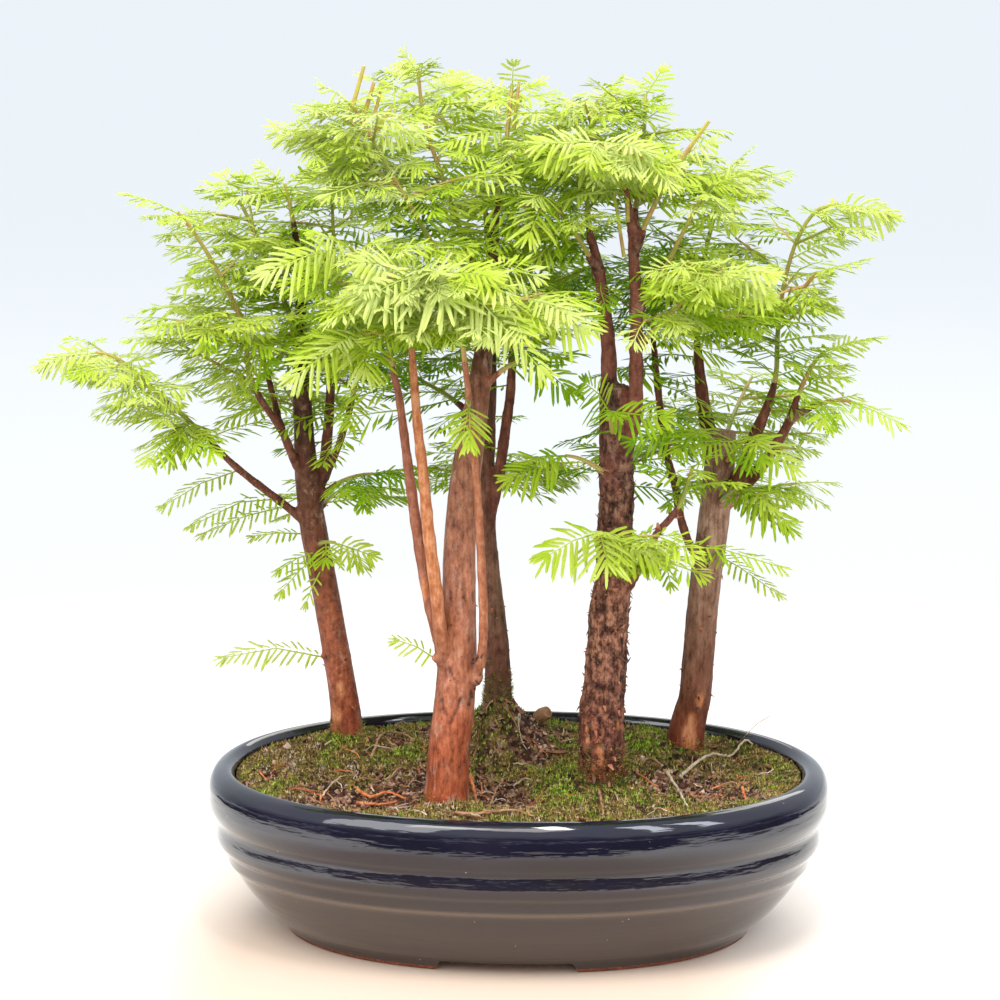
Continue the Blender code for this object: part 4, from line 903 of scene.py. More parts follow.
chance = random.Random(31)
flakes, climbing = Growth(), Growth()
shoots = []
for name, tree_plan in TREES.items():
    trunk, trunk_radii = trunk_line(tree_plan["trunk"])
    lines = [(trunk, trunk_radii)]
    marks = [(p, 0.0, 0.0) for p in trunk]
    stems = []
    if "crown" in tree_plan:
        dense = smooth_path([sight(*p) for p in tree_plan["crown"]], 1 * MM)
        woody = stretch(dense, 0, CROWN_WOOD, 4 * MM)
        lines.append((woody, np.linspace(tree_plan["trunk"][-1][3] * MM, 1.15 * MM, len(woody))))
        green = stretch(dense, CROWN_WOOD - 1 * MM, run_of(dense)[-1] - tip_reach(dense), 4 * MM)
        top = [p for p in trunk if p.z > LEAFY_TRUNK] + woody
        stems.append(("crown", False, top, green, np.linspace(1.1 * MM, 0.7 * MM, len(green))))
    for limb_name, limb in tree_plan["limbs"].items():
        bare_wood, (green, green_radii) = limb_lines(limb)
        if bare_wood:
            lines.append(bare_wood)
            amber_limb = 1.0 if limb_name == "orange" else 0.35 if limb_name == "frontright" else 0.0
            marks += [(p, min(1.0, k / 4), amber_limb * min(1.0, k / 10)) for k, p in enumerate(bare_wood[0])]
        stems.append((limb_name, not bare_wood, bare_wood and bare_wood[0], green, green_radii))
    wood = drawn_tubes(f"bark_{name}", lines)
    apply_modifier(wood, "REMESH", mode="VOXEL", voxel_size=VOXEL)
    apply_modifier(wood, "SMOOTH", factor=0.5, iterations=3)
    nearest = kdtree.KDTree(len(marks))
    for k, (p, _, _) in enumerate(marks):
        nearest.insert(p, k)
    nearest.balance()
    knots = [(seen_at(wood, x, y), rise, wide) for x, y, rise, wide in KNOTS[name]]
    knots = [(spot, rise, wide) for spot, rise, wide in knots if spot]
    relief, upright = BARK_RELIEF[name]
    bright = [(seen_at(wood, x, y), wide * MM) for x, y, wide in BRIGHT_WOOD.get(name, ())]
    bright = [(spot, wide) for spot, wide in bright if spot]
    twig_values, amber_values, crack_values, moved = [], [], [], []
    for vertex in wood.data.vertices:
        mark = marks[nearest.find(vertex.co)[1]]
        twig_values.append(mark[1])
        light = mark[2]
        for spot, wide in bright:
            away = vertex.co - spot
            away.z *= 0.45
            light = max(light, min(1.0, 2.2 - 2 * away.length / wide))
        amber_values.append(light)
        split = 0.0
        if name in CRACKS and vertex.normal.dot(VIEW_AWAY) < 0:
            x, y = seen_pixel(vertex.co)
            off = min(off_line(x, y, line) for line in CRACKS[name])
            split = max(0.0, 1.0 - off / 2.0 + 0.8 * noise.noise(vertex.co * 500))
        crack_values.append(min(0.85, split))
        at = Vector((vertex.co.x, vertex.co.y, vertex.co.z * upright))
        depth = noise.fractal(at * 260, 0.8, 2.2, 4) * relief * (1 - 0.65 * mark[1]) + 0.12
        if relief > 0.6:
            depth += (abs(noise.noise(at * 520)) - 0.2) * relief * 0.9 * (1 - mark[1])
        for spot, rise, wide in knots:
            away = (vertex.co - spot).length / (wide * MM)
            if away < 2.5:
                depth += rise * (math.exp(-away * away) - 0.75 * math.exp(-6 * away * away))
        moved.append(vertex.co + vertex.normal * (depth - 0.7 * min(1.0, split)) * MM)
    for vertex, spot in zip(wood.data.vertices, moved):
        vertex.co = spot
    for label, values in (("twig", twig_values), ("amber", amber_values), ("crack", crack_values)):
        wood.data.attributes.new(label, "FLOAT", "POINT").data.foreach_set("value", values)
    wood.data.materials.clear()
    wood.data.materials.append(BARKS[name])
    finish_piece(wood, [f"wood_{name}"], 60)
    shoots.append((name, stems))
    sides = [p for p in wood.data.polygons if abs(p.normal.z) < 0.6]
    count, highest, large = FLAKES[name]
    for _ in range(count * FLAKE_TRIES):
        side = chance.choice(sides)
        if 68 * MM < side.center.z < highest * MM:
            size = chance.choice((0.9, 1.2, 1.6, 2.4)) * large * MM
            if chance.random() < FLAKE_SHARE:
                add_flake(flakes, side.center.copy(), side.normal.copy(), size, chance,
                          chance.choice((0, 0, 1)))
    for x, y in FRAYED.get(name, ()):
        spot = seen_at(wood, x, y)
        if spot:
            way = Vector((chance.uniform(-0.3, 0.7), -1, 0)).normalized()
            size = chance.uniform(3.5, 6.0) * MM
            add_flake(flakes, spot, way, size, chance, chance.choice((0, 0, 1)), 0.4)
    highest, count = CLIMBING_MOSS[name]
    for side in chance.sample(sides, len(sides)):
        place = side.center
        top = highest * MM - 8 * MM * noise.noise(place * 190)
        if count and place.z < top and soil_height(place) - 2 * MM < place.z:
            if chance.random() < 1.15 - (place.z - 62 * MM) / (highest * MM - 62 * MM):
                count -= 1
                way = side.normal + UP * 0.5 + Vector([chance.uniform(-0.4, 0.4) for _ in range(3)])
                add_tuft(climbing, place - side.normal * 0.3 * MM, way.normalized(),
                         chance.uniform(1.2, 2.8) * MM, 0.45 * MM, chance.uniform(0, 2.1),
                         chance.choice((0, 0, 1, 1, 1, 2)))

# Scales of old bark that curl off are brittle and matt: purple-brown outside, rusty where they are fresh.
scale_finishes = [mottled(label, {"Scale": grain(3.03), "Detail": 4}, [(0.35, dark), (0.65, light)],
                          Roughness=0.85, Specular_IOR_Level=0.2)
                  for label, dark, light in (("old_bark_scales", "#37231f", "#7d5848"),
                                             ("fresh_bark_scales", "#8a4a34", "#c08a6c"))]
finish_piece(flakes.build("bark_scales", scale_finishes))
finish_piece(climbing.build("moss_on_bark", moss_finishes))


# The litter on the soil: crumbs of clay and grit, hair roots and bits of needle left when it was scraped, and
# some larger things: bared orange roots, dry twigs, a cut root, a dead leaf and a few pebbles.
CRUMBS = 2600
FIBRES = 620
# Pixels across and down along each root; then its thickness in millimetres, colour and its middle's rise.
ROOTS = [
    ([(352, 793), (370, 797), (388, 795), (406, 799)], 0.85, "orange", 1.2),
    ([(356, 801), (376, 803), (400, 804)], 0.7, "orange", 0.8),
    ([(403, 770), (399, 781), (388, 790)], 0.6, "tan", 1.5),
    ([(470, 777), (472, 790), (477, 804)], 0.8, "orange", 1.5),
    ([(742, 788), (746, 801)], 0.7, "orange", 0.5),
    ([(371, 749), (382, 741), (400, 738), (417, 744)], 0.65, "tan", 1.0),
    ([(376, 741), (398, 739), (412, 743)], 0.6, "brown", 1),
    ([(452, 815), (480, 816), (512, 815), (534, 817)], 0.8, "tan", 0.8),
    ([(444, 812), (462, 819), (478, 821), (492, 819), (499, 811)], 0.55, "brown", 1.0),
    ([(474, 716), (488, 714), (500, 719)], 0.35, "brown", 1.0),
    ([(504, 744), (512, 737), (522, 731)], 0.4, "tan", 1.0),
    ([(662, 764), (675, 787), (688, 808)], 0.65, "pale", 1.5),
    ([(599, 789), (601, 805), (604, 819)], 0.6, "tan", 0.8),
    ([(679, 758), (709, 761), (731, 760), (744, 751), (753, 748)], 0.8, "pale", 1.5),
    ([(640, 764), (652, 756), (663, 755)], 0.6, "tan", 1.2),
    ([(320, 800), (335, 790), (346, 778)], 0.45, "pale", 2.0),
    ([(488, 806), (500, 794), (512, 786)], 0.5, "tan", 2.5),
    ([(512, 786), (525, 784), (534, 790)], 0.45, "pale", 1.5),
    ([(448, 757), (470, 752), (486, 757)], 0.5, "brown", 1.0),
    ([(560, 742), (580, 739), (590, 744)], 0.5, "tan", 1.0),
    ([(700, 740), (712, 752), (722, 748)], 0.5, "brown", 2.0),
    ([(712, 790), (730, 784), (748, 787)], 0.5, "tan", 1.0),
]
# A dry grass stem: pixels across and down, and its rise from the soil in millimetres.
BLADE = [(739, 744, 0), (746, 735, 5), (757, 724, 10), (770, 716, 15)]
PEBBLES = [  # pixels across and down, half the width and height in millimetres, and the colour
    (288, 750, 2.6, 1.6, "pale"), (642, 757, 1.5, 1.3, "pale"), (692, 798, 2.4, 1.9, "tan"),
    (703, 795, 1.3, 1.1, "pale"), (668, 800, 1.2, 1.0, "brown"), (322, 762, 1.3, 1.0, "tan"),
    (508, 804, 1.2, 1.0, "pale"), (620, 803, 1.1, 0.9, "tan"),
]
LEAF = (557, 757, 5.2, 2.6)  # the dead leaf: pixels across and down, half its length and width in millimetres
# The cut root: pixels across and down, how far back, radius and length in millimetres
STUB = (538, 718, 62, 3.3, 6.0)
# What each colour stands for, and its darkest and lightest tone.
LITTER_TINTS = {"brown": ("dry_rootlets", "#5a3826", "#8a5f45"),
                "orange": ("bared_orange_roots", "#b4552a", "#d98a55"),
                "tan": ("dry_twigs", "#855a3e", "#b08a69"), "pale": ("bleached_stems", "#a38b72", "#d2c2ab"),
                "clay": ("baked_clay_grit", "#7a5443", "#b0937c"),
                "peat": ("dark_peat_crumbs", "#22130d", "#4b3024")}


def add_stem(growth, path, radii, sides, slot):
    """A thin tapered stem with closed ends."""
    rings = []
    across = UP.cross(path[1] - path[0])
    if across.length < 1e-5:
        across = Vector((1, 0, 0))
    for k, (spot, radius) in enumerate(zip(path, radii)):
        along = (path[min(k + 1, len(path) - 1)] - path[max(k - 1, 0)]).normalized()
        across = (across - along * across.dot(along)).normalized()
        other = along.cross(across)
        turns = [math.tau * j / sides for j in range(sides)]
        rings += [spot + (across * math.cos(turn) + other * math.sin(turn)) * radius for turn in turns]
    faces = []
    for k in range(len(path) - 1):
        for j in range(sides):
            a, b = k * sides + j, k * sides + (j + 1) % sides
            faces.append((a, b, b + sides, a + sides))
    last = (len(path) - 1) * sides
    faces += [tuple(range(sides - 1, -1, -1)), tuple(range(last, last + sides))]
    growth.add(rings, faces, slot)


def add_lump(growth, centre, size, chance, slot):
    """A rough crumb: an octahedron with its corners pushed in and out."""
    ways = [(1, 0, 0), (0, 1, 0), (-1, 0, 0), (0, -1, 0), (0, 0, 1), (0, 0, -1)]
    faces = [(0, 1, 4), (1, 2, 4), (2, 3, 4), (3, 0, 4), (1, 0, 5), (2, 1, 5), (3, 2, 5), (0, 3, 5)]
    angle = chance.uniform(0, math.tau)
    turn = Matrix.Rotation(angle, 3, Vector([chance.uniform(-1, 1) for _ in range(3)]).normalized())
    growth.add([centre + turn @ Vector(way) * size * chance.uniform(0.55, 1.2) for way in ways], faces, slot)


def ground(across, down, lift=0.0):
    """The place on the soil's surface that the front view shows at a pixel."""
    place = on_soil(across, down)
    for _ in range(3):
        place = on_soil(across, down, soil_height(place) / MM)
    return Vector((place.x, place.y, soil_height(place) + lift * MM))


# Dry plant litter and grit are matt; each kind keeps its own colour and varies from bit to bit.
litter_slots = {name: k for k, name in enumerate(LITTER_TINTS)}
litter_materials = [mottled(label, {"Scale": grain(3.85), "Detail": 4}, [(0.35, dark), (0.65, light)],
                            Roughness=0.8, Specular_IOR_Level=0.25)
                    for label, dark, light in LITTER_TINTS.values()]

chance = random.Random(11)
litter = Growth()
while litter.count < CRUMBS * 6:
    spot = inside_tray(chance, 0.97)
    if chance.random() > 0.16 + bareness(spot):
        continue
    size = chance.choice((0.45, 0.55, 0.7, 0.9, 1.3)) * chance.uniform(0.8, 1.2) * MM
    kind = chance.choice(("clay", "peat", "peat", "clay", "tan", "brown",
                          "pale" if size < 0.8 * MM else "peat"))
    add_lump(litter, Vector((spot.x, spot.y, soil_height(spot) + 0.35 * size)), size, chance,
             litter_slots[kind])
for _ in range(FIBRES):
    spot = inside_tray(chance, 0.94)
    if chance.random() > 0.25 + bareness(spot):
        continue
    heading, bend = chance.uniform(0, math.tau), chance.uniform(-0.35, 0.35)
    step = chance.uniform(0.9, 2.6) * MM
    kind = chance.choice(("brown", "brown", "tan", "tan", "pale", "orange"))
    path = []
    for k in range(6):
        height = soil_height(spot) + (0.5 + 0.8 * math.sin(math.pi * k / 5)) * MM
        path.append(Vector((spot.x, spot.y, height)))
        heading += bend + chance.uniform(-0.25, 0.25)
        spot = spot + Vector((math.cos(heading), math.sin(heading), 0)) * step
    flat = path[-1] - MIDDLE
    if oval_reach(flat.x, flat.y / OVAL_RATIO) < 0.98 * SOIL_EDGE * MM:
        add_stem(litter, path, np.linspace(0.32, 0.16, 6) * chance.uniform(0.7, 1.3) * MM, 3,
                 litter_slots[kind])
for points, thick, kind, rise in ROOTS:
    last = len(points) - 1
    path = smooth_path([ground(x, y, 0.4 + rise * math.sin(math.pi * k / last))
                        for k, (x, y) in enumerate(points)], 1.6 * MM)
    path = [p + Vector([chance.uniform(-0.25, 0.25) * MM for _ in range(3)]) for p in path]
    add_stem(litter, path, np.linspace(thick, thick * 0.5, len(path)) * MM, 6, litter_slots[kind])
blade = smooth_path([sight(x, y, 22 + 0.4 * rise) if rise else ground(x, y) for x, y, rise in BLADE], 3 * MM)
add_stem(litter, blade, np.linspace(0.4, 0.15, len(blade)) * MM, 4, litter_slots["pale"])
for x, y, wide, tall, kind in PEBBLES:
    add_lump(litter, ground(x, y, tall * 0.6), wide * MM, random.Random(x), litter_slots[kind])
x, y, half_long, half_wide = LEAF
centre, points, faces = ground(x, y, 1.2), [], []
for k in range(9):  # a cupped leaf, thin and closed, pointed at both ends
    along = -1 + k / 4
    wide = half_wide * (1 - along**2) ** 0.7 + 0.1
    for side, skin in ((-1, 0), (0, 0), (1, 0), (1, -0.25), (0, -0.25), (-1, -0.25)):
        cup = 0.9 * abs(side) * wide * 0.5 + along**2
        points.append(centre + Vector((along * half_long, side * wide * 0.9, cup + skin)) * MM)
for k in range(8):
    ring = range(6 * k, 6 * k + 6)
    faces += [(a + 6, b + 6, b, a) for a, b in zip(ring, [*ring[1:], ring[0]])]
litter.add(points, faces + [tuple(range(6)), tuple(range(53, 47, -1))], litter_slots["brown"])
x, y, back, radius, length = STUB
end = sight(x, y, back)
stub_path = [end + Vector(way) * length * MM for way in ((0, 0, 0), (0.3, -0.175, 0.275), (0.7, -0.5, 0.6))]
add_stem(litter, stub_path, [radius * share * MM for share in (0.9, 1, 0.8)], 12, litter_slots["tan"])
finish_piece(litter.build("soil_litter", litter_materials))


# The leafy shoots: this spring's growth. From each green stem soft flat sprays spread in pairs like feathers,
# with two rows of thin needles that lie opposite each other and droop; painted light makes the outermost
# palest.
NEEDLE_LENGTH = 12.5 * MM
NEEDLE_WIDTH = 1.5 * MM
NEEDLE_PITCH = 2.6 * MM
NODE_PITCH = 7 * MM
CROWN_REACH = (0.15, 0.10)  # how far the crown spreads sideways and back, in metres
# From and to in pixels across: between them the foremost sprays end above that pixel row.
FRONT_GAP = (390, 600, 352)
FRONT_DEPTH = -30 * MM
# Where the wood is kept in full sight: sprays that crossed it in front were pinched out. From and to in
# pixels, and how far back the wood is in millimetres.
CLEARINGS = [
    (622, 195, 648, 425, -18), (598, 240, 613, 380, -9), (596, 372, 634, 440, -12), (600, 440, 632, 505, -14),
    (448, 372, 492, 640, -32), (384, 345, 436, 640, -40), (458, 335, 478, 372, -52), (499, 360, 521, 500, 36),
    (483, 500, 512, 690, 46), (697, 482, 738, 552, 24), (699, 430, 736, 466, 22), (738, 420, 792, 470, 10),
    (215, 447, 240, 475, 14), (240, 468, 268, 496, 20), (268, 490, 302, 522, 26), (262, 388, 292, 455, 14),
    (296, 440, 322, 505, 26), (696, 116, 710, 148, -32), (682, 148, 698, 184, -30), (666, 184, 684, 226, -27),
    (650, 226, 668, 262, -26), (776, 262, 792, 304, 6), (788, 226, 808, 262, 2),
]
# The crown's outline in the front view, in pixels, which no side spray passes.
CROWN_OUTLINE = [
    (42, 368), (62, 326), (97, 315), (145, 309), (176, 276), (146, 229), (129, 199), (132, 175), (180, 162),
    (255, 160), (266, 110), (314, 98), (310, 57), (346, 70), (392, 57), (420, 53), (470, 68), (518, 62),
    (560, 78), (603, 75), (640, 71), (680, 104), (710, 117), (760, 132), (807, 178), (868, 192), (914, 216),
    (914, 240), (848, 248), (836, 290), (860, 317), (880, 343), (858, 382), (896, 422), (831, 436),
    (826, 455), (800, 470), (800, 530), (790, 600), (740, 592), (640, 584), (540, 584), (400, 560),
    (290, 610), (200, 520), (110, 440),
]
OUTLINE_ROW = 470  # below that pixel row the outline doesn't hold
PINCHED = 0.88  # the share of sprays before clear wood that were pinched out


def in_crown(spot, outline=True):
    """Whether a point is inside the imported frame's outer box and the crown's outline."""
    if any(not cad_low[i] + 2 * MM < spot[i] < cad_high[i] - 2 * MM for i in range(3)):
        return False
    if not outline:
        return True
    x, y = seen_pixel(spot)
    if (spot - MIDDLE).dot(VIEW_AWAY) < FRONT_DEPTH and FRONT_GAP[0] < x < FRONT_GAP[1] and y > FRONT_GAP[2]:
        return False
    if y > OUTLINE_ROW:
        return True
    inside = False
    for (ax, ay), (bx, by) in zip(CROWN_OUTLINE, CROWN_OUTLINE[1:] + CROWN_OUTLINE[:1]):
        if (ay > y) != (by > y) and x < (bx - ax) * (y - ay) / (by - ay) + ax:
            inside = not inside
    return inside


def hides_wood(spots):
    """Whether one of the points stands, in the front view, before wood that is kept in full sight."""
    for spot in spots:
        x, y = seen_pixel(spot)
        back = (spot - MIDDLE).dot(VIEW_AWAY)
        if any(x0 < x < x1 and y0 < y < y1 and back < depth * MM for x0, y0, x1, y1, depth in CLEARINGS):
            return True
    return False


def needle_form(rows):
    """A needle along +X, flat below and keeled on top: foot, rows at the given places and widths, and tip."""
    points = [(0, 0, 0)]
    for x, half in rows:
        points += [(x, half, 0), (x, -half, 0), (x, 0, 0.4 * half)]
    tip = len(points)
    points.append((1, 0, 0.05))
    faces = [(0, 3, 1), (0, 2, 3), (0, 1, 2)]
    for a in range(1, tip - 3, 3):
        b = a + 3
        faces += [(a, a + 2, b + 2, b), (a + 2, a + 1, b + 1, b + 2), (a + 1, a, b, b + 1)]
    a = tip - 3
    return np.array(points), faces + [(a, a + 2, tip), (a + 2, a + 1, tip), (a + 1, a, tip)]


FINE_NEEDLE = needle_form([(0.08, 0.75), (0.45, 1.0), (0.9, 0.7)])
NEEDLE = needle_form([(0.12, 0.85), (0.84, 0.9)])
SMALL_NEEDLE = needle_form([(0.7, 1.1)])


def add_needles(growth, form, bases, reaches, faces_up, lengths, widths, sags):
    """Many needles at once: where each starts, where it points, its upper side, length, width and droop."""
    form, form_faces = form
    sides = np.cross(faces_up, reaches)
    sides /= np.linalg.norm(sides, axis=1)[:, None]
    ups = np.cross(reaches, sides)
    x, y, z = form[:, 0], form[:, 1], form[:, 2]
    half = widths / 2
    points = bases[:, None] + reaches[:, None] * (lengths[:, None] * x)[..., None]
    points += sides[:, None] * (half[:, None] * y)[..., None]
    points += ups[:, None] * (half[:, None] * z)[..., None]
    points[:, :, 2] -= (lengths * sags)[:, None] * x * x
    faces = [tuple(len(form) * n + k for k in face) for n in range(len(bases)) for face in form_faces]
    growth.add(points.reshape(-1, 3), faces)


def sun_side(spot, chance):
    """Which way a spray's upper side turns there: up, and outwards the more so near the crown's edge."""
    out = Vector((0.5 * (spot.x - MIDDLE.x) / CROWN_REACH[0], (spot.y - MIDDLE.y) / CROWN_REACH[1] - 0.25, 0))
    lean = min(1.0, out.length) * chance.choice((0.1, 0.3, 0.55, 0.95))
    stray = Vector((chance.uniform(-0.32, 0.32), chance.uniform(-0.32, 0.32), 0))
    return (UP + out.normalized() * lean + stray).normalized()


def add_spray(growth, root, way, length, needle, chance, face=None, form=NEEDLE, pitch=NEEDLE_PITCH,
              outline=True, droop=None):
    """One flat spray: a thin arched rib with two rows of needles, longest near its middle."""
    face = face or sun_side(root, chance)
    way = (way - UP * 0.3 * max(0.0, way.dot(face - UP * face.z))).normalized()
    across = face.cross(way)
    if across.length < 0.25:
        across = VIEW_RIGHT.cross(way)
    across.normalize()
    droop = droop or chance.uniform(2.0, 10.0)
    sags = (0.12, 0.45) if form is FINE_NEEDLE or not outline else (0.04, 0.38)
    sway = chance.uniform(-6.0, 6.0)

    def rib(s):
        return root + way * s - UP * droop * s * s + across * sway * s * s

    for _ in range(7):
        ahead = (rib(length) - rib(length - 1 * MM)).normalized()
        if in_crown(rib(length) + ahead * needle * 0.55, outline):
            break
        length *= 0.8
        needle *= 0.93
    else:
        return
    beside = across * needle * 0.6
    corners = [rib(length * 0.35), rib(length * 0.7), rib(length), rib(length * 0.6) + beside,
               rib(length * 0.6) - beside]
    if outline and chance.random() < PINCHED and hides_wood(corners):
        return
    pairs = max(3, round((length - 2 * MM) / (pitch * (0.7 + 0.3 * needle / NEEDLE_LENGTH))))
    width = NEEDLE_WIDTH * (0.4 + 0.6 * needle / NEEDLE_LENGTH)
    rows = []
    for k in range(pairs):
        s = 2 * MM + (length - 2 * MM) * (k + 0.5) / pairs
        share = k / max(1, pairs - 1)
        here = rib(s)
        forward = (rib(s + 1 * MM) - here).normalized()
        side = (across - forward * across.dot(forward)).normalized()
        up = forward.cross(side)
        grown = needle * (0.72 + 1.05 * share - 1.2 * share**2)
        for hand in (1, -1):
            slant = math.radians(24 + 36 * share**1.4 + chance.uniform(-10, 10))
            lift = up * chance.uniform(-0.22, 0.16)
            reach = side * hand * math.cos(slant) + forward * math.sin(slant) + lift
            rows.append((here + side * hand * 0.2 * MM, reach.normalized(),
                         (up + side * hand * chance.uniform(-0.2, 0.5)).normalized(),
                         grown * chance.uniform(0.86, 1.12), width * chance.uniform(0.85, 1.12),
                         chance.uniform(*sags)))
    end = rib(length)
    side = (across - ahead * across.dot(ahead)).normalized()
    up = ahead.cross(side)
    for turn in (-0.62, -0.2, 0.25, 0.66):
        reach = ahead * math.cos(turn) + side * math.sin(turn) + up * chance.uniform(-0.15, 0.15)
        rows.append((end - ahead * 0.8 * MM, reach.normalized(), up, needle * chance.uniform(0.5, 0.72),
                     width * 0.8, chance.uniform(0, 0.25)))
    bases, reaches, ups, lengths, widths, sags = (np.array(column) for column in zip(*rows))
    add_needles(growth, form, bases, reaches, ups, lengths, widths, sags)
    add_stem(growth, [rib(length * k / 2) for k in range(3)], np.linspace(0.42 * MM, 0.2 * MM, 3), 3, 0)


def side_way(along, k, turn, outward):
    """Which way is sideways from a stem; from an upright stem it turns from node to node."""
    aside = UP.cross(along)
    if aside.length < 0.55:
        aside = Matrix.Rotation(turn + math.radians(78 * k), 3, "Z") @ outward
    return aside.normalized()


def dress_stem(growth, path, radii, missing, chance, order=0):
    """A green stem with its sprays in pairs, its side shoots, and the sprays at its tip."""
    add_stem(growth, path, radii, 6 if order == 0 else 4, 1)
    lengths = run_of(path)
    total = lengths[-1]
    outward = Vector((path[-1].x - MIDDLE.x, path[-1].y - MIDDLE.y, 0)).normalized()
    turn = chance.uniform(0, math.tau)
    form = NEEDLE if order == 0 else SMALL_NEEDLE
    count = max(2, round(total / NODE_PITCH))
    for k in range(count):
        at = total * (k + 0.6) / (count + 0.3)
        spot = point_along(path, lengths, at)
        ahead = point_along(path, lengths, at + 2 * MM)
        along = (ahead - point_along(path, lengths, at - 2 * MM)).normalized()
        aside = side_way(along, k, turn, outward)
        share = at / total
        for hand in (1, -1):
            if chance.random() < missing:
                continue
            way = along * chance.uniform(0.35, 0.85) + aside * hand * chance.uniform(0.6, 0.95)
            way.z = way.z * 0.55 + chance.uniform(-0.2, 0.22)
            way.normalize()
            if order == 0 and total > 30 * MM and share < 0.85 and chance.random() < SIDE_SHOOTS:
                reach = chance.uniform(22, 40) * MM * (1.1 - 0.5 * share)
                rise = chance.uniform(-4.0, 3.0)
                side = [spot + way * s + UP * rise * s * s for s in np.linspace(0, reach, 6)]
                if in_crown(side[-1] + way * 9 * MM):
                    dress_stem(growth, side, np.linspace(0.7 * MM, 0.45 * MM, 6), missing / 2, chance, 1)
                    continue
            needle = NEEDLE_LENGTH * chance.uniform(0.75, 1.08) * (1 if order == 0 else 0.85)
            reach = (29 if order == 0 else 19) * MM * chance.uniform(0.8, 1.15) * (1.1 - 0.3 * share)
            add_spray(growth, spot, way, reach, needle, chance, form=form)
    tip = (path[-1] - path[-2]).normalized()
    leaning = (tip + outward * 0.5 * max(0.0, tip.z) - UP * 0.2 * tip.z).normalized()
    upright = tip.z > 0.8
    add_spray(growth, path[-1] - tip * 1 * MM, leaning,
              (23 if order == 0 else 18) * (0.6 if upright else 1) * MM,
              NEEDLE_LENGTH * (0.75 if upright else 0.9), chance, form=form, outline=order > 0)
    for k in range(4 if upright and order == 0 else 0):
        way = Matrix.Rotation(turn + math.radians(90 * k), 3, "Z") @ Vector((1, 0, chance.uniform(0.1, 0.9)))
        add_spray(growth, point_along(path, lengths, total - (1 + 2 * k) * MM), way.normalized(),
                  chance.uniform(14, 20) * MM, NEEDLE_LENGTH * 0.8, chance, form=form)


# Soft young needles let the light through; waxy, half matt. Their green goes from deeper inside the crown to
# lime
# at its outside: painted shade and light.
CROWN_MIDDLE = MIDDLE + Vector((0, 0, 0.225))
CROWN_SIZE = Vector((0.17, 0.12, 0.14))  # half the crown's length, depth and height in metres
needle_green, tree, shader, place = new_material("spring_needles", Roughness=0.5, Specular_IOR_Level=0.22)
centre = add_node(tree, "VectorMath", {0: place, 1: -CROWN_MIDDLE}, operation="ADD")
scaled = add_node(tree, "VectorMath", {0: centre, 1: [1 / size for size in CROWN_SIZE]}, operation="MULTIPLY")
reach = add_node(tree, "VectorMath", {0: scaled}, operation="LENGTH")
# Painted light and shade: needles lighter towards the crown's outside, darker towards its middle.
outer = add_node(tree, "MapRange", {"Value": reach, "From Min": 0.25, "From Max": 1.0,
                                    "To Min": -0.24, "To Max": 0.24})
patch = add_node(tree, "TexNoise", {"Vector": place, "Scale": grain(23.8), "Detail": 2})
speck = add_node(tree, "TexNoise", {"Vector": place, "Scale": grain(4.35), "Detail": 2})
tone = add_node(tree, "Math", {0: patch, 1: outer}, operation="ADD")
tone = add_node(tree, "Math", {0: speck, 1: 0.35, 2: tone}, operation="MULTIPLY_ADD")
tint = add_node(tree, "ValToRGB", {"Fac": tone}, [(0.26, "#5f9414"), (0.45, "#96bf20"), (0.62, "#bad231"),
                                                  (0.8, "#cad853"), (0.95, "#d6de88")])
glow = add_node(tree, "ValToRGB", {"Fac": tone}, [(0.26, "#74ac1a"), (0.5, "#b0d22a"), (0.85, "#ccdc50")])
connect(shader, {"Base Color": tint})
through = add_node(tree, "BsdfTranslucent", {"Color": glow})
mixed = add_node(tree, "MixShader", {0: 0.47, 1: shader, 2: through})
connect(tree.nodes["Material Output"], {"Surface": mixed})

# Stems that have not turned woody: yellow-green, flushed pink and tan in patches, slightly shiny.
stem_green = mottled("young_green_stem", {"Scale": grain(18.2), "Detail": 3},
                     [(0.3, "#7d8f35"), (0.48, "#a39f48"), (0.6, "#b8935a"), (0.75, "#a8704a")],
                     Roughness=0.5, Specular_IOR_Level=0.4)
# Shoots of this year that are just turning woody: dull gold to cinnamon brown in patches.
stem_tan = mottled("turning_shoot", {"Scale": grain(11.1), "Detail": 3},
                   [(0.35, "#a9ad44"), (0.5, "#b5a750"), (0.62, "#ad8554")], Roughness=0.55,
                   Specular_IOR_Level=0.35)

chance = random.Random(23)
SIDE_SHOOTS = 0.45  # the share of a main stem's sprays that have grown into side shoots
LOWEST_LEAVES = 195 * MM  # the height above which bare wood carries short sprays of its own
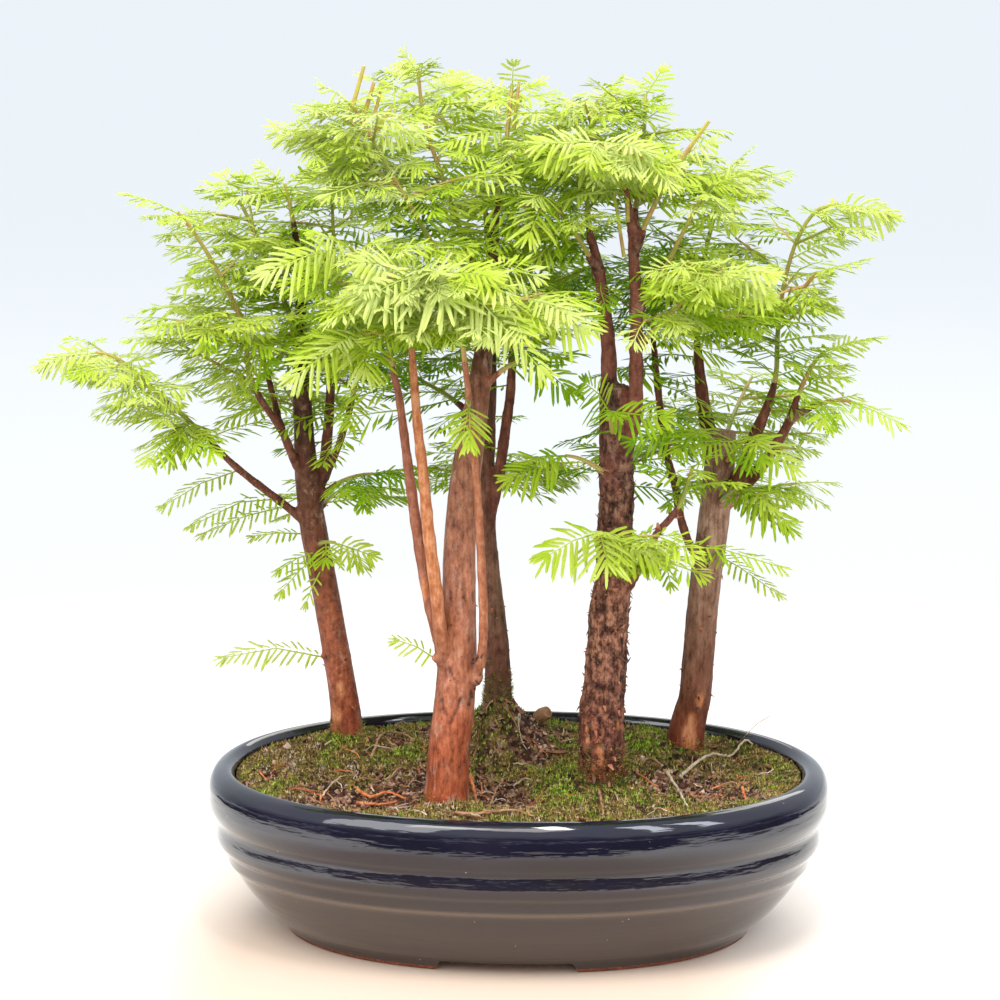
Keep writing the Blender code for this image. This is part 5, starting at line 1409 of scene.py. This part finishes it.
# The sprays that reach towards the front: how far along the shoot, which way (right, up, nearer), and the
# lengths of the spray and its needles in millimetres.
FANS = {
    "left_low": [(0.2, -0.25, -0.25, 0.9, 20, 14), (1, -0.95, 0.0, 0.3, 20, 10)],
    "left_mid": [(0.2, -0.3, -0.2, 0.9, 20, 13)],
    "left_twig": [(0.1, -0.1, -0.4, 0.85, 18, 11)],
    "left_frontlow": [(0.5, 0.1, -0.25, 0.95, 12, 12), (1, 0.95, -0.12, 0.3, 16, 10)],
    "front_orange": [(0.95, 0.4, -0.16, 0.85, 18, 22), (1, -0.85, 0.0, 0.5, 24, 18),
                     (1, 0.93, -0.1, 0.35, 50, 13), (0.8, -0.65, 0.5, 0.55, 30, 16),
                     (0.8, 0.6, 0.35, 0.5, 36, 15), (0.7, 0.05, 0.6, 0.75, 24, 17)],
    "front_brown": [(1, -0.9, 0.05, 0.4, 34, 14), (0.7, 0.5, -0.1, 0.85, 24, 14)],
    "front_brownleft": [(1, -0.8, -0.15, 0.5, 30, 15), (1, 0.1, -0.35, 0.9, 20, 15)],
    "front_hang": [(1, -0.15, -0.7, 0.7, 12, 13)],
    "front_frontright": [(1, 0.85, -0.1, 0.45, 24, 15), (0.7, 0.3, 0.2, 0.85, 26, 17)],
    "front_midright": [(1, 0.8, -0.2, 0.5, 22, 12)],
    "middle_leaderright": [(1, -0.2, -0.2, 0.95, 16, 14), (1, -0.9, 0.1, 0.4, 24, 12),
                           (1, 0.85, 0.1, 0.45, 22, 12)],
    "middle_archleft": [(1, -0.5, -0.25, 0.8, 22, 14)],
    "middle_shoulder": [(1, 0.8, -0.15, 0.5, 20, 11)],
    "middle_handlow": [(1, 0.05, -0.15, 0.95, 18, 17), (1, -0.85, 0.05, 0.5, 26, 15),
                       (1, 0.8, -0.15, 0.5, 24, 15)],
    "middle_midfan": [(1, -0.25, 0.75, 0.5, 26, 13), (1, 0.75, 0.1, 0.5, 24, 13)],
    "middle_wingleft": [(1, -0.95, -0.15, 0.3, 24, 12)],
    "right_frontfan": [(1, -0.6, -0.05, 0.85, 18, 12), (1, -0.9, 0.12, 0.4, 30, 12)],
    "right_fanright": [(1, 0.35, -0.25, 0.9, 16, 13), (1, 0.85, -0.2, 0.5, 22, 13)],
    "right_frontlow": [(1, 0.8, -0.4, 0.4, 22, 12)],
    "right_rightup": [(1, 0.98, 0.06, 0.1, 26, 12.5)],
}
OPEN = {  # the share of sprays that didn't grow
    "left_low": 0.2, "left_lowside": 0.3, "left_frontlow": 0.9, "left_rightlow": 0.3, "middle_handlow": 0.6,
    "middle_wingleft": 0.35, "middle_back": 0.4, "middle_midfan": 0.3, "middle_lowright": 0.3,
    "right_backlow": 0.5, "right_frontfan": 0.65, "right_fanright": 0.35, "right_frontlow": 0.55,
}
# Lone sprays, one on each stem: which way (right, up, nearer), length, needle length and the needles' pitch
# in millimetres, and how strongly the rib bends down.
LONE = {
    "left_footspray": [(-0.98, 0.42, 0.1, 45, 9.5, 3.4, 5.5)],
    "front_knob": [(-0.75, 0.66, 0.1, 22, 8, 3.6, 14.0)],
    "middle_lowout": [(0.97, 0.2, 0.3, 50, 8.5, 3.6, 8.0), (0.2, -0.4, 0.5, 18, 6.5, 3.2, 5.0)],
}
# Slack sprays that trail under the limbs: from and to in pixels and millimetres back, and needle length.
TRAILING = {
    "left_low": [(286, 506, 28, 208, 534, 18, 7.5), (292, 498, 28, 188, 506, 18, 8),
                 (304, 534, 30, 252, 536, 22, 6.5), (240, 470, 24, 166, 500, 12, 8.5)],
    "left_frontlow": [(318, 556, 27, 282, 586, 17, 7.5), (316, 552, 27, 278, 566, 19, 7),
                      (320, 572, 26, 306, 600, 20, 5)],
    "right_frontlow": [(706, 548, 20, 768, 590, -6, 7)],
    "right_frontfan": [(716, 470, 18, 668, 496, -8, 10), (716, 478, 18, 776, 500, -4, 10)],
}
TRAIL_SAG = 0.22  # how far a slack spray bows down, as a share of its length
# Thick young shoots that still stand up bare, with brown tips: from and to in pixels and millimetres back,
# and radius.
BARE_SHOOTS = {
    "front_peakleft": [(351, 112, -45, 364, 66, -47, 1.0), (361, 126, -44, 374, 82, -46, 1.0),
                       (374, 116, -44, 381, 90, -45, 0.8), (377, 132, -44, 392, 106, -46, 0.9),
                       (399, 134, -40, 400, 114, -40, 0.8)],
    "front_crown": [(514, 128, -28, 519, 82, -27, 0.8)],
    "middle_greenhigh": [(675, 168, -26, 709, 121, -31, 1.1)],
    "middle_leaderright": [(624, 257, -28, 614, 191, -30, 0.8), (628, 222, -26, 626, 168, -27, 1.0)],
    "middle_greenright": [(687, 225, -30, 700, 200, -34, 0.9)],
    "right_rightup": [(778, 330, 10, 820, 292, 4, 0.7)],
    "left_crownleft": [(258, 252, 30, 247, 190, 28, 0.6)],
}


def front_way(right, up, near):
    """The direction that goes right, up and nearer in the front view in those shares."""
    return (VIEW_RIGHT * right + UP * up - VIEW_AWAY * near).normalized()


for tree_name, stems in shoots:
    groups = []
    for stem in stems:
        if stem[1]:
            groups[-1].append(stem)
        else:
            groups.append([stem])
    for group in groups:
        growth = Growth()
        for limb_name, _, bare_wood, green, radii in group:
            label = f"{tree_name}_{limb_name}"
            if label in LONE:
                for right, up, near, length, needle, pitch, droop in LONE[label]:
                    add_spray(growth, green[0], front_way(right, up, near), length * MM, needle * MM, chance,
                              outline=False, droop=droop, face=front_way(0, 1, 0.6), pitch=pitch * MM)
                continue
            dress_stem(growth, green, radii, OPEN.get(label, 0), chance)
            for x0, y0, back0, x1, y1, back1, needle in TRAILING.get(label, ()):
                start = sight(x0, y0, back0)
                way = sight(x1, y1, back1) - start
                add_spray(growth, start, (way + UP * TRAIL_SAG * way.length).normalized(), way.length,
                          needle * MM, chance, outline=False, droop=TRAIL_SAG / way.length,
                          face=front_way(0, 1, 0.5), pitch=3.2 * MM)
            for x0, y0, back0, x1, y1, back1, thick in BARE_SHOOTS.get(label, ()):
                line = smooth_path([sight(x0, y0, back0), sight(x1, y1, back1)], 4 * MM)
                add_stem(growth, line, np.linspace(thick, thick * 0.7, len(line)) * MM, 6, 2)
            lengths = run_of(green)
            for share, right, up, near, length, needle in FANS.get(label, ()):
                root = point_along(green, lengths, share * lengths[-1])
                add_spray(growth, root, front_way(right, up, near), length * MM, needle * MM, chance,
                          face=front_way(0, near, 0.9 if near > 0.8 else 0.6), form=FINE_NEEDLE,
                          outline=False)
            if bare_wood:
                lengths = run_of(bare_wood)
                at = max(0.4 * lengths[-1], 12 * MM)
                while at < lengths[-1]:
                    spot = point_along(bare_wood, lengths, at)
                    if spot.z > LOWEST_LEAVES:
                        turn = chance.uniform(0, math.tau)
                        way = Vector((math.cos(turn), math.sin(turn) - 0.3,
                                      chance.uniform(-0.3, 0.35))).normalized()
                        reach = chance.uniform(18, 30) * MM
                        add_spray(growth, spot, way, reach, NEEDLE_LENGTH * chance.uniform(0.8, 1.05), chance,
                                  form=SMALL_NEEDLE)
                    at += chance.uniform(4, 9) * MM
        piece = growth.build(f"needles_{tree_name}_{group[0][0]}", [needle_green, stem_green, stem_tan])
        finish_piece(piece, [f"shoot_{tree_name}_{group[0][0]}"])


# The floor is a plain pale sweep: warm round the tray, lit up a little at its sides, and cooler far behind.
# The light is soft: banks in front of the tray, over it and behind it. The camera doesn't see the three dark
# flags on the floor, in front and at the sides, which only the glaze mirrors.
bpy.ops.mesh.primitive_plane_add(size=40, location=(0, 0, 0))
floor = bpy.context.object
floor.name = "floor"
pale, tree, shader, place = new_material("pale_sweep", Roughness=0.9, Specular_IOR_Level=0.1)
before = add_node(tree, "VectorMath", {0: place, 1: (0, 0.09, 0)}, operation="ADD")
far = add_node(tree, "VectorMath", {0: before}, operation="LENGTH")
share = add_node(tree, "MapRange", {"Value": far, "From Max": 3.0})
tint = add_node(tree, "ValToRGB", {"Fac": share}, [(0.035, "#d8c3b0"), (0.075, "#e9e3db"), (0.12, "#d0cecb"),
                                                   (0.17, "#9c9c9c"), (0.27, "#707070")])
glow = add_node(tree, "ValToRGB", {"Fac": share}, [(0.07, "#000000"), (0.12, "#9a9893"), (0.17, "#d0cfcb"),
                                                   (0.27, "#d9dcdc"), (0.5, "#dbe1e5"), (0.83, "#dae0e6")])
across = add_node(tree, "SeparateXYZ", {"Vector": place}).outputs["X"]
aside = add_node(tree, "Math", {0: across}, operation="ABSOLUTE")
aside = add_node(tree, "MapRange", {"Value": aside, "From Min": 0.09, "From Max": 0.2, "To Max": 0.45})
close = add_node(tree, "MapRange", {"Value": far, "From Min": 0.45, "From Max": 0.25})
aside = add_node(tree, "Math", {0: aside, 1: close}, operation="MULTIPLY")
glow = add_node(tree, "Mix", {"Factor": aside, "A": glow, "B": "#ffffff"}, data_type="RGBA", blend_type="ADD")
connect(shader, {"Base Color": tint, "Emission Color": glow, "Emission Strength": 1.0})
floor.data.materials.append(pale)
floor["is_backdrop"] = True

FLAGS = {"front": (0, -0.82, 3.0, 1.1), "left": (-0.95, 0.02, 1.1, 0.58), "right": (0.95, 0.02, 1.1, 0.58)}
flag_cloth = new_material("black_flag_cloth", Base_Color="#15151d", Roughness=0.9)[0]
for name, (x, y, wide, deep) in FLAGS.items():
    bpy.ops.mesh.primitive_plane_add(size=1, location=(x, y, 1 * MM))
    flag = bpy.context.object
    flag.name = f"dark_flag_{name}"
    flag.scale = (wide, deep, 1)
    bpy.ops.object.transform_apply(location=True, rotation=False, scale=True)
    flag.data.materials.append(flag_cloth)
    flag.visible_camera = False
    flag.visible_shadow = False
    flag.visible_diffuse = False
    flag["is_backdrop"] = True

world = bpy.data.worlds.new("soft_room")
world.use_nodes = True
tree = world.node_tree
direction = add_node(tree, "TexCoord").outputs["Generated"]
parts = add_node(tree, "SeparateXYZ", {"Vector": direction}).outputs
front = add_node(tree, "MapRange", {"Value": parts["Y"], "From Min": 0.7, "From Max": 0.1})
low = add_node(tree, "MapRange", {"Value": parts["Z"], "From Min": 0.38, "From Max": 0.1})
shaded = add_node(tree, "Math", {0: front, 1: low}, operation="MULTIPLY")
sky = add_node(tree, "Mix", {"Factor": shaded, "A": "#e4ebf3", "B": "#565866"}, data_type="RGBA")
connect(tree.nodes["Background"], {"Color": sky, "Strength": 0.95})
bpy.context.scene.world = world

LIT_SPOT = MIDDLE + Vector((0, 0, 0.2))  # what every light is turned to
LIGHTS = [  # name, place in metres, width, depth, watts, tone; then whether the glaze mirrors it
    ("bank_left", (-0.75, -0.9, 1.2), 1.0, 1.3, 15, "#ffffff", True),
    ("bank_right", (0.8, -0.85, 1.2), 0.2, 0.9, 4, "#f2f6ff", True),
    ("bank_far_right", (1.15, -0.55, 1.2), 0.25, 0.9, 5, "#f2f6ff", True),
    ("bank_over", (0.13, -0.5, 1.5), 0.14, 0.6, 6, "#ffffff", True),
    ("bank_behind", (0.2, 1.3, 1.4), 1.2, 1.2, 13, "#fffaf0", True),
    ("bank_front", (-0.2, -0.9, 1.5), 0.9, 0.6, 7, "#fff6ee", True),
    ("soft_top", (0.0, -0.3, 1.7), 1.6, 1.2, 7, "#ffffff", False),
    ("front_fill", (0.1, -1.9, 0.7), 1.4, 0.9, 13, "#fffdf8", False),
]
for name, spot, wide, tall, power, tone, mirrored in LIGHTS:
    data = bpy.data.lights.new(name, "AREA")
    data.shape = "RECTANGLE"
    data.size = wide
    data.size_y = tall
    data.energy = power
    data.color = linear(tone)[:3]
    lamp = new_object(name, data)
    lamp.location = spot
    lamp.rotation_euler = (LIT_SPOT - lamp.location).to_track_quat("-Z", "Y").to_euler()
    lamp.visible_glossy = mirrored
bpy.context.scene.view_settings.view_transform = "Standard"

camera_data = bpy.data.cameras.new("front_view")
camera_data.lens = VIEW_LENS * camera_data.sensor_width / (2 * HALF_FRAME)
camera_data.clip_start = 0.05
camera = new_object("front_view", camera_data)
facing = Matrix((VIEW_RIGHT, VIEW_RIGHT.cross(VIEW_LINE), -VIEW_LINE)).transposed().to_4x4()
camera.matrix_world = Matrix.Translation(EYE) @ facing
bpy.context.scene.camera = camera

low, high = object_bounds()
